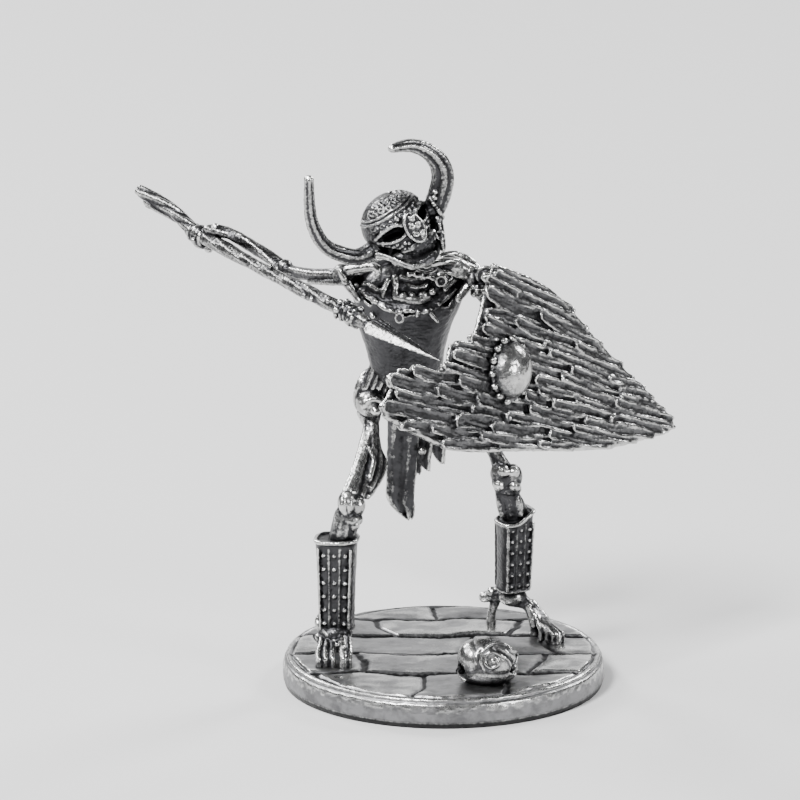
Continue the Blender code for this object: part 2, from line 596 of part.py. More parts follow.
def turned(name, profile, collection, sides):
    """A closed round solid from a profile that runs from the axis out and back to the axis."""
    mesh = bpy.data.meshes.new(name)
    body = bmesh.new()
    points = [body.verts.new((radius, 0, height)) for radius, height in profile]
    for a, b in zip(points, points[1:]):
        body.edges.new((a, b))
    bmesh.ops.spin(body, geom=list(body.verts) + list(body.edges), cent=(0, 0, 0), axis=(0, 0, 1),
                   angle=2 * math.pi, steps=sides, use_merge=True)
    bmesh.ops.remove_doubles(body, verts=body.verts, dist=1e-6)
    bmesh.ops.recalc_face_normals(body, faces=body.faces)
    body.to_mesh(mesh)
    body.free()
    return new_object(name, mesh, collection)


def make_snail(collection, cutters, material):
    """A coiled shell lying on its side, its spire to the viewer, sunk a little into the stone."""
    clay = Clay("snail_shell", cutters)
    size = SNAIL_LENGTH / UNIT
    radius = BASE_DIAMETER / 2
    centre = Vector((0.275 * radius, -0.66 * radius, BASE_HEIGHT + SNAIL_LENGTH * 0.30))
    axes = frame_of(Vector((0.25, -0.80, 0.55)), Vector((0.0, 0.4, 0.9)))
    rows = []
    for i in range(29):
        turn = i / 28
        angle = math.radians(200 + 820 * turn)
        spread = 0.30 * size * math.exp(-1.9 * turn)
        place = Vector((spread * math.cos(angle), -0.26 * size * turn ** 0.8, spread * math.sin(angle) * 0.8))
        rows.append((centre + axes @ place * UNIT, 0.215 * size * math.exp(-1.75 * turn)))
    clay.rod(rows, 1)
    clay.ball(centre, [SNAIL_LENGTH * 0.30, SNAIL_LENGTH * 0.2, SNAIL_LENGTH * 0.24], axes)
    shell = clay.fuse(material, 0.028 * SNAIL_LENGTH, 0.07)
    shell.hide_render = True
    shell.display_type = "WIRE"
    return shell


def make_base(collection, cutters, material):
    """A round plinth with a swelling edge, uneven flagstones on top and a snail shell cast on them."""
    radius = BASE_DIAMETER / 2
    floor = BASE_HEIGHT - JOINT_DEPTH
    profile = [(0, floor), (radius - BASE_BULGE * 1.6, floor)]
    for i in range(1, 6):
        angle = math.radians(90 - 180 * i / 6)
        profile.append((radius - BASE_BULGE * (1 - math.cos(angle)), floor / 2 + floor / 2 * math.sin(angle) * 0.92))
    profile += [(radius - BASE_BULGE * 1.1, 0), (0, 0)]
    base = turned("base", profile, collection, 40)
    base.data.materials.append(material)
    # Stones
    chance = random.Random(11)
    stones = bmesh.new()
    for course, joints in enumerate(CROSS_JOINTS):
        front, back = COURSES[course], COURSES[course + 1]
        edges = (-1.0, *joints, 1.0)
        for left, right in zip(edges, edges[1:]):
            low = Vector((left * radius + JOINT_WIDTH / 2, front * radius + JOINT_WIDTH / 2, floor - JOINT_DEPTH))
            high = Vector((right * radius - JOINT_WIDTH / 2, back * radius - JOINT_WIDTH / 2,
                           BASE_HEIGHT - JOINT_DEPTH * chance.uniform(0.0, 0.35)))
            size = high - low
            made = bmesh.ops.create_cube(stones, size=1.0,
                                         matrix=Matrix.LocRotScale((low + high) / 2, None, size))
            top = [e for v in made["verts"] for e in v.link_edges if all(u.co.z > floor for u in e.verts)]
            bmesh.ops.bevel(stones, geom=list(set(top)), offset=JOINT_DEPTH * 0.5, segments=1, affect="EDGES")
    mesh = bpy.data.meshes.new("flagstones")
    stones.to_mesh(mesh)
    stones.free()
    paving = new_object("flagstones", mesh, cutters)
    rim = turned("stone_edge", [(0, BASE_HEIGHT * 2), (radius * 0.962, BASE_HEIGHT * 2), (radius * 0.962, floor / 2),
                                (0, floor / 2)], cutters, 40)
    for guide in (paving, rim):
        guide.hide_render = True
        guide.display_type = "WIRE"
    trim = paving.modifiers.new("Round", "BOOLEAN")
    trim.operation = "INTERSECT"
    trim.solver = "EXACT"
    trim.object = rim
    lay = base.modifiers.new("Stones", "BOOLEAN")
    lay.operation = "UNION"
    lay.solver = "EXACT"
    lay.object = paving
    shell = make_snail(collection, cutters, material)
    cast = base.modifiers.new("Snail", "BOOLEAN")
    cast.operation = "UNION"
    cast.solver = "EXACT"
    cast.object = shell
    return base


def main():
    clear_scene()
    pieces = new_collection("skeleton_warrior_miniature")
    cutters = new_collection("cutters")
    make_base(pieces, cutters, metal("burnished_stone_metal", (0.34, 0.34, 0.345), 0.42))
    make_figure(pieces, metal("blackened_casting_metal", (0.26, 0.26, 0.265), 0.36))
    make_shield(pieces, metal("blackened_plank_metal", (0.24, 0.24, 0.245), 0.38))


main()
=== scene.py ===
"""Dresses a cast metal miniature: a skeleton warrior with a spear and a plank shield, on a flagstone base.

Metres, +Z up, the viewer on the -Y side. Every piece is put down from primitives, rolled grids and bevelled
curves, fused into one casting as metal fuses in a mould, then roughened, worn and blackened, and given
painted shade where little sky is seen and painted highlights and shadows on chosen spots.
"""

import random
from math import asin, atan2, copysign, cos, degrees, exp, hypot, pi, radians, sin, sqrt, tanh

import bmesh
import bpy
import numpy as np
from bpy.props import FloatProperty, FloatVectorProperty, PointerProperty
from mathutils import Matrix, Vector, noise
from mathutils.bvhtree import BVHTree
from mathutils.kdtree import KDTree


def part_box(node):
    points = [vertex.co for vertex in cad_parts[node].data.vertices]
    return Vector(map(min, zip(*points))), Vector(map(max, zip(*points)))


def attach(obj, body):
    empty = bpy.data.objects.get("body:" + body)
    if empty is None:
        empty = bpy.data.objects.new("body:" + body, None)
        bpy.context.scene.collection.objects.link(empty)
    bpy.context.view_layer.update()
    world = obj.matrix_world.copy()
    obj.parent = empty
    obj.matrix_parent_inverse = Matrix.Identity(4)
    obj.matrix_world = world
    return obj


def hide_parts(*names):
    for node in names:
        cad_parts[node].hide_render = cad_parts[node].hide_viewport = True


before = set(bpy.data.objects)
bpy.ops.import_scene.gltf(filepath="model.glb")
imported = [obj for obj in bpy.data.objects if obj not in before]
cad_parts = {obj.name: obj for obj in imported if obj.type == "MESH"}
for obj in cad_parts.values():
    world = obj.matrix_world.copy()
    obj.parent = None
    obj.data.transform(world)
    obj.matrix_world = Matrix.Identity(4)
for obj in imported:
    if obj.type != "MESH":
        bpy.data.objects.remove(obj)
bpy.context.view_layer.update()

BASE_LOW, BASE_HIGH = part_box("base")

bl_info = {
    "name": "Cast skeleton warrior miniature",
    "version": (1, 0, 0),
    "blender": (4, 5, 0),
    "location": "View3D > Sidebar > Miniature",
    "description": "Casts a horned skeleton warrior with spear and plank shield on a flagstone base",
    "category": "Add Mesh",
}

MM = 0.001
MERGE_DISTANCE = 1e-7
THINNEST_ROD = 0.03 * MM
# Cell size of the fusing in millimetres, and the most triangles that each casting keeps.
FINENESS = {
    "horned_helmet": (0.068, 145000), "skull_and_neck": (0.080, 36000), "spear_arm": (0.080, 60000),
    "torn_jerkin_and_chest": (0.088, 95000), "pelvis_and_loincloth": (0.088, 60000),
    "spear": (0.074, 80000), "shield_arm": (0.088, 42000), "right_leg": (0.082, 85000),
    "left_leg": (0.082, 75000), "plank_shield": (0.098, 170000), "shield_boss": (0.068, 30000),
    "snail_shell": (0.052, 30000),
}
BASE_TRIANGLES = 88000


class CastingSizes(bpy.types.PropertyGroup):
    """Sizes of the castings."""

    figure_height: FloatProperty(name="Figure height", description="From the stones to the upper horn",
                                 default=0.0500, unit="LENGTH")
    base_diameter: FloatProperty(name="Base diameter", description="Across the round base",
                                 default=BASE_HIGH.x - BASE_LOW.x, unit="LENGTH")
    base_height: FloatProperty(name="Base height", description="Underside to the top of the stones",
                               default=0.0030, unit="LENGTH")
    foot_gap: FloatProperty(name="Foot gap", description="Height of the poured joint under the soles",
                            default=0.0003, unit="LENGTH")
    joint_depth: FloatProperty(name="Joint depth", description="How deep the joints between flagstones are",
                               default=0.00040, unit="LENGTH")
    snail_length: FloatProperty(name="Snail shell", description="Length of the snail shell",
                                default=0.0058, unit="LENGTH")
    spear_diameter: FloatProperty(name="Spear shaft", description="Thickness of the shaft",
                                  default=0.0014, unit="LENGTH")
    blade_length: FloatProperty(name="Blade length", description="Length of the spear blade",
                                default=0.0112, unit="LENGTH")
    blade_width: FloatProperty(name="Blade width", description="Widest place of the spear blade",
                               default=0.0023, unit="LENGTH")
    shield_length: FloatProperty(name="Shield length", description="Ragged end to point",
                                 default=0.0388, unit="LENGTH")
    shield_width: FloatProperty(name="Shield width", description="Across the boards",
                                default=0.0176, unit="LENGTH")
    shield_thickness: FloatProperty(name="Shield thickness", description="Thickness of the boards",
                                    default=0.0010, unit="LENGTH")
    board_width: FloatProperty(name="Board width", description="Width of one split board",
                               default=0.00105, unit="LENGTH")
    boss_diameter: FloatProperty(name="Boss diameter", description="Width of the domed boss",
                                 default=0.0047, unit="LENGTH")
    boss_height: FloatProperty(name="Boss height", description="How far the boss stands out",
                               default=0.0019, unit="LENGTH")


class CastingFinish(bpy.types.PropertyGroup):
    """Colours of the metal, its patina and its worn places; patina and burnish also serve as painted shade
    and painted highlights.
    """

    # The patina colour is also painted as shade where little sky is seen and as shadow in the mouth; the
    # burnish colour is also painted as highlights on chosen spots.
    patina: FloatVectorProperty(name="Patina", description="Blackening left in the recesses",
                                subtype="COLOR", size=3, default=(0.008, 0.008, 0.009), min=0, max=1)
    casting: FloatVectorProperty(name="Cast metal", description="Darkened metal of the open faces",
                                 subtype="COLOR", size=3, default=(0.055, 0.055, 0.058), min=0, max=1)
    burnish: FloatVectorProperty(name="Burnish", description="Rubbed metal on the high spots",
                                 subtype="COLOR", size=3, default=(0.64, 0.64, 0.63), min=0, max=1)
    stone: FloatVectorProperty(name="Stone metal", description="Metal of the flagstones",
                               subtype="COLOR", size=3, default=(0.24, 0.24, 0.245), min=0, max=1)
    boards: FloatVectorProperty(name="Board metal", description="Metal of the shield's boards",
                                subtype="COLOR", size=3, default=(0.115, 0.115, 0.118), min=0, max=1)
    grain: FloatProperty(name="Grain", description="Size of the grain of the cast skin", default=0.00016,
                         unit="LENGTH")
    grain_depth: FloatProperty(name="Grain depth", description="Depth of the grain of the cast skin",
                               default=0.000022, unit="LENGTH")


def sizes():
    return bpy.context.scene.casting_sizes


def finish():
    return bpy.context.scene.casting_finish


def unit():
    """A fiftieth of the figure's height: its pose and anatomy are written in these."""
    return sizes().figure_height / 50


def at(x, y, z):
    """A place on the figure, in fiftieths of its height above its soles."""
    return Vector((x, y, z)) * unit() + Vector((0, 0, sizes().base_height + sizes().foot_gap))


def noise_at(x, y, z):
    return noise.noise(Vector((x, y, z)))


def layered(point, *layers):
    """Noise in layers of (depth, fineness)."""
    total = 0.0
    for depth, fineness in layers:
        total += depth * noise.noise(point * fineness)
    return total


def frame_of(facing, up):
    """Axes for a head, blade or board: columns are its own right, back and up."""
    back = -facing.normalized()
    up = (up - up.project(back)).normalized()
    return Matrix((back.cross(up), back, up)).transposed()


def smoothed(points, steps):
    """Places and radii along a rounded path through the given ones."""
    rows = [tuple(p) for p in points]
    rows = [rows[0]] + rows + [rows[-1]]
    path = []
    for a, b, c, d in zip(rows, rows[1:], rows[2:], rows[3:]):
        for step in range(steps):
            t = step / steps
            path.append([
                0.5 * (2 * q + (r - p) * t + (2 * p - 5 * q + 4 * r - s) * t * t
                       + (3 * q - p - 3 * r + s) * t ** 3)
                for p, q, r, s in zip(a, b, c, d)
            ])
    path.append(list(rows[-1]))
    return path


def walk(points, steps):
    """Places, radii and two side directions along a rounded path, carried without twist."""
    rows = smoothed([(*place, radius) for place, radius in points], steps)
    places = [Vector(row[:3]) for row in rows]
    normal = None
    found = []
    for i, (place, row) in enumerate(zip(places, rows)):
        ahead = places[min(i + 1, len(rows) - 1)] - places[max(i - 1, 0)]
        ahead.normalize()
        if normal is None:
            normal = ahead.orthogonal()
        normal = (normal - normal.project(ahead)).normalized()
        found.append((place, row[3], normal.copy(), ahead.cross(normal)))
    return found


def way_out(side, up, angle):
    """The direction from a bar's middle line that stands at an angle round it."""
    return side * cos(angle) + up * sin(angle)


def deselect():
    bpy.ops.object.select_all(action="DESELECT")


def select_only(*things):
    deselect()
    for thing in things:
        thing.select_set(True)
    bpy.context.view_layer.objects.active = things[0]


def put_down(name, points, edges, faces):
    """A new object made of the given points, edges and faces."""
    mesh = bpy.data.meshes.new(name)
    mesh.from_pydata(points, edges, faces)
    thing = bpy.data.objects.new(name, mesh)
    bpy.context.collection.objects.link(thing)
    return thing


def close_up(thing, fill=False):
    """Merges points that lie on each other, fills open ends if asked, and turns the faces outwards."""
    select_only(thing)
    bpy.ops.object.mode_set(mode="EDIT")
    bpy.ops.mesh.select_all(action="SELECT")
    bpy.ops.mesh.remove_doubles(threshold=MERGE_DISTANCE)
    if fill:
        bpy.ops.mesh.select_all(action="DESELECT")
        bpy.ops.mesh.select_non_manifold()
        bpy.ops.mesh.fill_holes(sides=0)
        bpy.ops.mesh.select_all(action="SELECT")
    bpy.ops.mesh.normals_make_consistent(inside=False)
    bpy.ops.object.mode_set(mode="OBJECT")


def tilted(angle):
    """A turn in the picture's plane."""
    return Matrix.Rotation(radians(angle), 3, "Y")


class Clay:
    """Closed shapes that overlap, put down one by one and then fused into one casting."""

    def __init__(self, name):
        self.name = name
        self.parts = []
        self.paths = []

    def rod(self, points, steps=4):
        """A round bar with rounded ends through (place, radius) pairs, radii in figure units."""
        u = unit()
        rows = smoothed([(*place, radius * u) for place, radius in points], steps)
        for end, inner in ((0, 1), (-1, -2)):
            tip, radius = Vector(rows[end][:3]), rows[end][3]
            ahead = (tip - Vector(rows[inner][:3])).normalized()
            caps = [[*(tip + ahead * radius * out), radius * size]
                    for out, size in ((0.5, 0.84), (0.86, 0.45))]
            rows = caps[::-1] + rows if end == 0 else rows + caps
        self.paths.append(rows)

    def bone(self, *stations, steps=4, place=at):
        """A rod through (x, y, z, radius) stations in figure units."""
        self.rod([(place(x, y, z), radius) for x, y, z, radius in stations], steps)

    def hoop(self, middle, wide, high, radius, turns=range(0, 361, 36), place=at):
        """A ring that faces the viewer, or a part of one, through the given degrees round it."""
        x, y, z = middle
        self.rod([(place(x + wide * cos(a), y, z + high * sin(a)), radius)
                  for a in (radians(turn) for turn in turns)], 2)

    def bundle(self, points, strands=5, reach=0.62, share=0.46, twist=2.0, steps=5, core=0.8):
        """A rod made of strands that wind round it, as in a horn's grooves or a gnarled shaft."""
        path = walk(points, steps)
        self.rod([(place, radius * core) for place, radius, _, _ in path], 1)
        for strand in range(strands):
            line = []
            for i, (place, radius, side, over) in enumerate(path):
                angle = 2 * pi * strand / strands + twist * i / len(path)
                out = way_out(side, over, angle) * radius * reach * unit()
                line.append((place + out, radius * share))
            self.rod(line, 1)

    def coil(self, points, turns, radius, steps=6):
        """A cord wound round a path."""
        path = walk(points, steps)
        line = []
        for i in range(turns * 10 + 1):
            share = i / (turns * 10) * (len(path) - 1)
            low = min(int(share), len(path) - 2)
            place = path[low][0].lerp(path[low + 1][0], share - low)
            angle = 2 * pi * i / 10
            _, reach, side, over = path[low]
            line.append((place + way_out(side, over, angle) * reach * unit(), radius))
        self.rod(line, 1)

    def ball(self, centre, radii, turn=Matrix.Identity(3), fine=3):
        bpy.ops.mesh.primitive_ico_sphere_add(subdivisions=fine, radius=1, location=centre,
                                              rotation=turn.to_euler())
        ball = bpy.context.object
        ball.scale = radii
        self.parts.append(ball)
        return ball

    def egg(self, centre, *radii, turn=Matrix.Identity(3), fine=3):
        """A ball of one radius or an egg of three, in figure units."""
        return self.ball(centre, [radius * unit() for radius in radii] * (3 // len(radii)), turn, fine)

    def balls(self, places, radius):
        """Like studs: one is modelled and copied to each place."""
        first = self.egg(places[0], radius, fine=2)
        for place in places[1:]:
            copy = first.copy()
            copy.data = first.data.copy()
            copy.location = place
            bpy.context.collection.objects.link(copy)
            self.parts.append(copy)

    def knob(self, x, y, z, radius):
        self.egg(at(x, y, z), radius)

    def roll(self, rings, sides, shape=None):
        """A grid rolled into a tube over rings of (centre, across, deep, power), closed at both ends.

        Power 2 is an ellipse and more is squarer. shape moves a point, given its ring's share and its angle.
        """
        bpy.ops.mesh.primitive_grid_add(x_subdivisions=sides, y_subdivisions=len(rings) - 1, size=2)
        tube = bpy.context.object
        places = []
        for row, (centre, across, deep, power) in enumerate(rings):
            for column in range(sides + 1):
                angle = 2 * pi * (column % sides) / sides
                c, s = cos(angle), sin(angle)
                reach = (abs(c) ** power + abs(s) ** power) ** (-1 / power)
                place = centre + across * (c * reach) + deep * (s * reach)
                if shape:
                    place = shape(place, row / (len(rings) - 1), angle)
                places.extend(place)
        tube.data.vertices.foreach_set("co", places)
        close_up(tube, fill=True)
        self.parts.append(tube)

    def draw_rods(self):
        """All the rods become one bevelled curve, and then a mesh."""
        bpy.ops.curve.primitive_nurbs_path_add()
        wire = bpy.context.object
        wire.location = (0, 0, 0)
        curve = wire.data
        curve.splines.clear()
        curve.bevel_depth = 1.0
        curve.bevel_resolution = 3
        curve.use_fill_caps = True
        for rows in self.paths:
            spline = curve.splines.new("POLY")
            spline.points.add(len(rows) - 1)
            for point, (x, y, z, radius) in zip(spline.points, rows):
                point.co = (x, y, z, 1)
                point.radius = max(radius, THINNEST_ROD)
        select_only(wire)
        bpy.ops.object.convert(target="MESH")
        close_up(wire)
        self.parts.append(wire)

    def fuse(self, skin):
        """One closed casting of everything that was put down, roughened by its skin."""
        cell, most = FINENESS[self.name]
        if self.paths:
            self.draw_rods()
        select_only(*self.parts)
        bpy.ops.object.transform_apply(location=True, rotation=True, scale=True)
        if len(self.parts) > 1:
            bpy.ops.object.join()
        piece = bpy.context.object
        piece.name = self.name
        piece.data.name = self.name
        apply(piece, "REMESH", mode="VOXEL", voxel_size=cell * MM, use_smooth_shade=True)
        drop_crumbs(piece)
        roughen(piece, skin)
        thin(piece, most)
        return piece


def apply(piece, kind, **settings):
    """Adds a modifier, sets it, and applies it."""
    select_only(piece)
    bpy.ops.object.modifier_add(type=kind)
    modifier = piece.modifiers[-1]
    for key, value in settings.items():
        setattr(modifier, key, value)
    bpy.ops.object.modifier_apply(modifier=modifier.name)


def thin(piece, most):
    """Brings the piece down to a number of triangles, and shades it smooth."""
    count = sum(len(face.vertices) - 2 for face in piece.data.polygons)
    if count > most:
        apply(piece, "DECIMATE", ratio=most / count)
    select_only(piece)
    bpy.ops.object.shade_smooth()


def drop_crumbs(piece):
    """Keeps the casting and drops any speck that the fusing left inside or beside it."""
    body = bmesh.new()
    body.from_mesh(piece.data)
    seen = set()
    groups = []
    for start in body.verts:
        if start in seen:
            continue
        seen.add(start)
        group = [start]
        for vert in group:
            for edge in vert.link_edges:
                other = edge.other_vert(vert)
                if other not in seen:
                    seen.add(other)
                    group.append(other)
        groups.append(group)
    groups.sort(key=len)
    for crumb in groups[:-1]:
        if len(crumb) < len(groups[-1]) / 50:
            bmesh.ops.delete(body, geom=crumb, context="VERTS")
    body.to_mesh(piece.data)
    body.free()


def coordinates(mesh):
    values = np.empty(len(mesh.vertices) * 3, np.float32)
    mesh.vertices.foreach_get("co", values)
    return values.reshape(-1, 3)


def directions(mesh):
    values = np.empty(len(mesh.vertices) * 3, np.float32)
    mesh.vertex_normals.foreach_get("vector", values)
    return values.reshape(-1, 3)


def roughen(piece, skin):
    """Moves every point along its normal by skin(point in millimetres), itself in millimetres."""
    mesh = piece.data
    points = coordinates(mesh)
    normals = directions(mesh)
    moves = np.array([skin(Vector(point) * 1000) for point in points.tolist()], np.float32) * MM
    mesh.vertices.foreach_set("co", (points + normals * moves[:, None]).ravel())
    mesh.update()


def cast_skin(point):
    """The lumps and grain of a metal skin."""
    return layered(point, (0.040, 1.3), (0.030, 4.1), (0.018, 9.0))


class Links:
    """Each point's neighbours, for softening values over a mesh."""

    def __init__(self, mesh):
        edges = np.empty(len(mesh.edges) * 2, np.int32)
        mesh.edges.foreach_get("vertices", edges)
        edges = edges.reshape(-1, 2)
        ends = np.concatenate([edges, edges[:, ::-1]])
        ends = ends[np.argsort(ends[:, 0], kind="stable")]
        self.others = ends[:, 1]
        self.counts = np.bincount(ends[:, 0], minlength=len(mesh.vertices))
        self.starts = np.concatenate([[0], np.cumsum(self.counts)[:-1]])

    def soften(self, values, times):
        for _ in range(times):
            sums = np.add.reduceat(values[self.others], self.starts, axis=0)
            values = sums / self.counts.reshape((-1,) + (1,) * (values.ndim - 1))
        return values


SKY_RAYS = 22
GOLDEN_TURN = 2.399963


# Its openness is painted into the metal: darker as painted shade where little sky is seen, a little lighter
# where much is.
class Shelter:
    """How much of the open sky a point of the miniature sees, past all its castings."""

    def __init__(self, pieces):
        points, faces, start = [], [], 0
        for piece in pieces:
            mesh = piece.data
            mesh.calc_loop_triangles()
            corners = np.empty(len(mesh.loop_triangles) * 3, np.int32)
            mesh.loop_triangles.foreach_get("vertices", corners)
            faces.extend((corners.reshape(-1, 3) + start).tolist())
            points.extend(coordinates(mesh).tolist())
            start = len(points)
        self.tree = BVHTree.FromPolygons(points, faces, all_triangles=True)
        chance = random.Random(3)
        self.rays = []
        for i in range(SKY_RAYS):
            height = 1 - (i + 0.5) / SKY_RAYS
            turn = GOLDEN_TURN * i + chance.uniform(0, 0.3)
            flat = sqrt(1 - height * height)
            self.rays.append(Vector((flat * cos(turn), flat * sin(turn), height)))

    def openness(self, point, normal, reach=0.0065, lift=0.00025):
        start = point + normal * lift
        turn = normal.to_track_quat("Z", "Y")
        seen = 0.0
        for ray in self.rays:
            hit = self.tree.ray_cast(start, turn @ ray, reach)
            seen += 1.0 if hit[0] is None else 0.6 * hit[3] / reach
        return seen / len(self.rays)

    def spread(self, points, normals, samples=2600):
        """Openness at every point, from a few thousand that are really measured."""
        step = max(1, len(points) // samples)
        chosen = range(0, len(points), step)
        tree = KDTree(len(chosen))
        values = []
        for i, index in enumerate(chosen):
            point, normal = Vector(points[index]), Vector(normals[index])
            tree.insert(point, i)
            values.append(self.openness(point, normal))
        tree.balance()
        result = []
        for point in points.tolist():
            near = tree.find_n(point, 3)
            weights = [1 / (found[2] + 1e-5) for found in near]
            result.append(sum(w * values[found[1]] for w, found in zip(weights, near)) / sum(weights))
        return np.array(result, np.float32)


def put_value(mesh, name, values):
    attribute = mesh.attributes.new(name, "FLOAT", "POINT")
    attribute.data.foreach_set("value", values.astype(np.float32))


# How much of the painted shade of sheltered places a casting takes: less of it on the breast inside the
# neckline.
SHADE_SHARES = {"torn_jerkin_and_chest": 0.55}
# Rounds of softening that take away the sharp edges, and the broad forms.
NEAR_ROUNDS = 3
WIDE_ROUNDS = 22


def mark_wear_and_painted_light(piece, shelter, wear_and_painted_light):
    """Writes, on the piece's own points, the worn edges together with painted highlights (edge), the patina
    of hollows together with painted shadows (hollow), and the sky seen, which is painted as shade (open).
    """
    mesh = piece.data
    points, normals = coordinates(mesh).astype(np.float64), directions(mesh).astype(np.float64)
    links = Links(mesh)
    near = links.soften(points, NEAR_ROUNDS)
    wide = links.soften(near, WIDE_ROUNDS)
    sharp = np.einsum("ij,ij->i", points - near, normals) * 1000
    broad = np.einsum("ij,ij->i", near - wide, normals) * 1000
    spot_wear_and_light = wear_and_painted_light(points, normals)
    # Edge wear, with the painted highlights of the spots added.
    put_value(mesh, "edge", links.soften(np.clip(0.5 + sharp * 9 + broad * 2.2 + spot_wear_and_light, 0, 1.4), 1))
    # Spots far below zero: black joints and patina, and painted shadow.
    spot_patina_and_painted_shade = np.clip(-spot_wear_and_light - 0.45, 0, 1) * 1.3
    hollow = np.clip(-sharp * 8 - broad * 3.2, 0, 1) + spot_patina_and_painted_shade
    put_value(mesh, "hollow", links.soften(np.clip(hollow, 0, 1), 1))
    # Sky seen from each point; where little is seen the metal is painted darker as shade.
    shade = 1 - links.soften(shelter.spread(points, normals), 3)
    put_value(mesh, "open", 1 - shade * SHADE_SHARES.get(piece.name, 1.0))


def wear_and_painted_light_spots(*spots):
    """Spots made brighter, as wear and as painted highlights, or darker below zero, some as painted shadow:
    (place, radius in figure units, amount).
    """
    def amount(points, normals):
        total = np.zeros(len(points))
        for place, radius, strength in spots:
            apart = np.linalg.norm(points - np.array(place), axis=1) / (radius * unit())
            total += strength * np.exp(-apart ** 2)
        return total
    return amount


# Every casting made so far, for the patina and the painted shade and highlights that are given to all of them
# together.
CASTINGS = []


def settle(piece, node, material):
    """Hands a finished piece to the frame."""
    piece.data.materials.clear()
    piece.data.materials.append(material)
    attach(piece, "root")
    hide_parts(node)
    CASTINGS.append(piece)


class Wire:
    """A shader socket that takes part in Python sums: each operator adds its Math node."""

    def __init__(self, paint, socket):
        self.paint = paint
        self.socket = socket

    def math(self, operation, *values):
        return self.paint.node("ShaderNodeMath", {"operation": operation}, dict(enumerate(values)))

    def __add__(self, other):
        return self.math("ADD", self, other)

    __radd__ = __add__

    def __sub__(self, other):
        return self.math("SUBTRACT", self, other)

    def __rsub__(self, other):
        return self.math("SUBTRACT", other, self)

    def __mul__(self, other):
        return self.math("MULTIPLY", self, other)

    __rmul__ = __mul__


class Paint:
    """One material under construction."""

    def __init__(self, name):
        self.material = bpy.data.materials.new(name)
        self.material.use_nodes = True
        self.tree = self.material.node_tree
        self.shader = self.tree.nodes["Principled BSDF"]
        self.place = self.node("ShaderNodeTexCoord", {}, {}, "Object")

    def node(self, kind, settings, values, output=0):
        made = self.tree.nodes.new(kind)
        for key, value in settings.items():
            setattr(made, key, value)
        for key, value in values.items():
            self.feed(made.inputs[key], value)
        return Wire(self, made.outputs[output])

    def feed(self, socket, value):
        if isinstance(value, Wire):
            self.tree.links.new(value.socket, socket)
        else:
            socket.default_value = value

    def set(self, name, value):
        self.feed(self.shader.inputs[name], value)

    def attribute(self, name):
        return self.node("ShaderNodeAttribute", {"attribute_name": name}, {}, "Fac")

    def noise(self, size, detail=2.0, rough=0.5):
        return self.node("ShaderNodeTexNoise", {}, {"Vector": self.place, "Scale": 1 / size, "Detail": detail,
                                                    "Roughness": rough})

    def step(self, value, low, high, to_low=0.0, to_high=1.0):
        """Rises smoothly from to_low to to_high as value goes from low to high."""
        return self.node("ShaderNodeMapRange", {"interpolation_type": "SMOOTHSTEP"},
                         {"Value": value, "From Min": low, "From Max": high, "To Min": to_low,
                          "To Max": to_high})

    def blend(self, mask, first, second):
        """A colour between two, by a mask."""
        def colour(value):
            return value if isinstance(value, Wire) else (*value, 1)
        return self.node("ShaderNodeMix", {"data_type": "RGBA"},
                         {0: mask, 6: colour(first), 7: colour(second)}, 2)


def cast_metal(name, body, wear_and_painted_light=1.0, polish=0.24, grain=1.0, mottle=0.40):
    """Blackened casting: patina in the hollows and painted shade where little sky is seen, dark metal on open
    faces, bright metal where it is worn and where highlights are painted, a little lighter where much sky is
    seen.
    """
    if name in bpy.data.materials:
        return bpy.data.materials[name]
    look = finish()
    paint = Paint(name)
    paint.set("Metallic", 1.0)
    edge, hollow, open_sky = paint.attribute("edge"), paint.attribute("hollow"), paint.attribute("open")
    fine = paint.noise(look.grain, 3.0, 0.6)
    cloud = paint.noise(look.grain * 9, 3.0, 0.6)
    specks = paint.noise(look.grain * 2.6, 2.0, 0.65)
    # Faces that see much sky are painted a little lighter, besides the worn edges.
    wear_and_sky_light = edge + (fine - 0.5) * 0.50 + (cloud - 0.5) * mottle + (open_sky - 0.75) * 0.30
    bright = paint.step(wear_and_sky_light, 0.58, 0.94) * wear_and_painted_light
    # Patina in the hollows, painted shadow on the dark spots, and painted shade where little sky is seen.
    patina_and_painted_shade = paint.step(hollow * 1.3 + (1 - open_sky) * 0.95 + (specks - 0.5) * 0.5, 0.25, 0.95)
    metal = paint.blend(bright, body, look.burnish)
    mottled = paint.blend(paint.step(cloud, 0.35, 0.7, 0.0, 0.45), metal, look.patina)
    paint.set("Base Color", paint.blend(paint.step(patina_and_painted_shade, 0.0, 1.0, 0.0, 0.95), mottled, look.patina))
    rough = paint.step(bright, 0.0, 1.0, polish + 0.12, polish) + patina_and_painted_shade * 0.16 + (fine - 0.5) * 0.14
    paint.set("Roughness", rough)
    height = fine * 0.7 + specks * 0.6
    paint.set("Normal", paint.node("ShaderNodeBump", {},
                                   {"Strength": 0.6 * grain, "Distance": look.grain_depth,
                                                          "Height": height}))
    return paint.material


# The shield's plane: its boards run along SHIELD_ALONG, from the ragged end near the viewer to the point.
SHIELD_ALONG = Vector((0.680, 0.631, -0.374)).normalized()
SHIELD_FACE = Vector((0.720, -0.663, 0.191)).normalized()
SHIELD_UP = SHIELD_FACE.cross(SHIELD_ALONG)
GRIP_GAP = 0.0003
TIP_GAP = 0.0003
LEFT_FIST_RADIUS = 0.95
TIP_ALONG = -9.9
TIP_UP = -1.40


def left_fist():
    return at(4.45, -5.75, 28.75)


def right_fist():
    return at(-22.78, 11.0, 36.7)


def on_shield(along, up, out=0.0):
    centre = left_fist() + SHIELD_FACE * (LEFT_FIST_RADIUS * unit() + GRIP_GAP + sizes().shield_thickness / 2)
    return centre + SHIELD_ALONG * along + SHIELD_UP * up + SHIELD_FACE * out


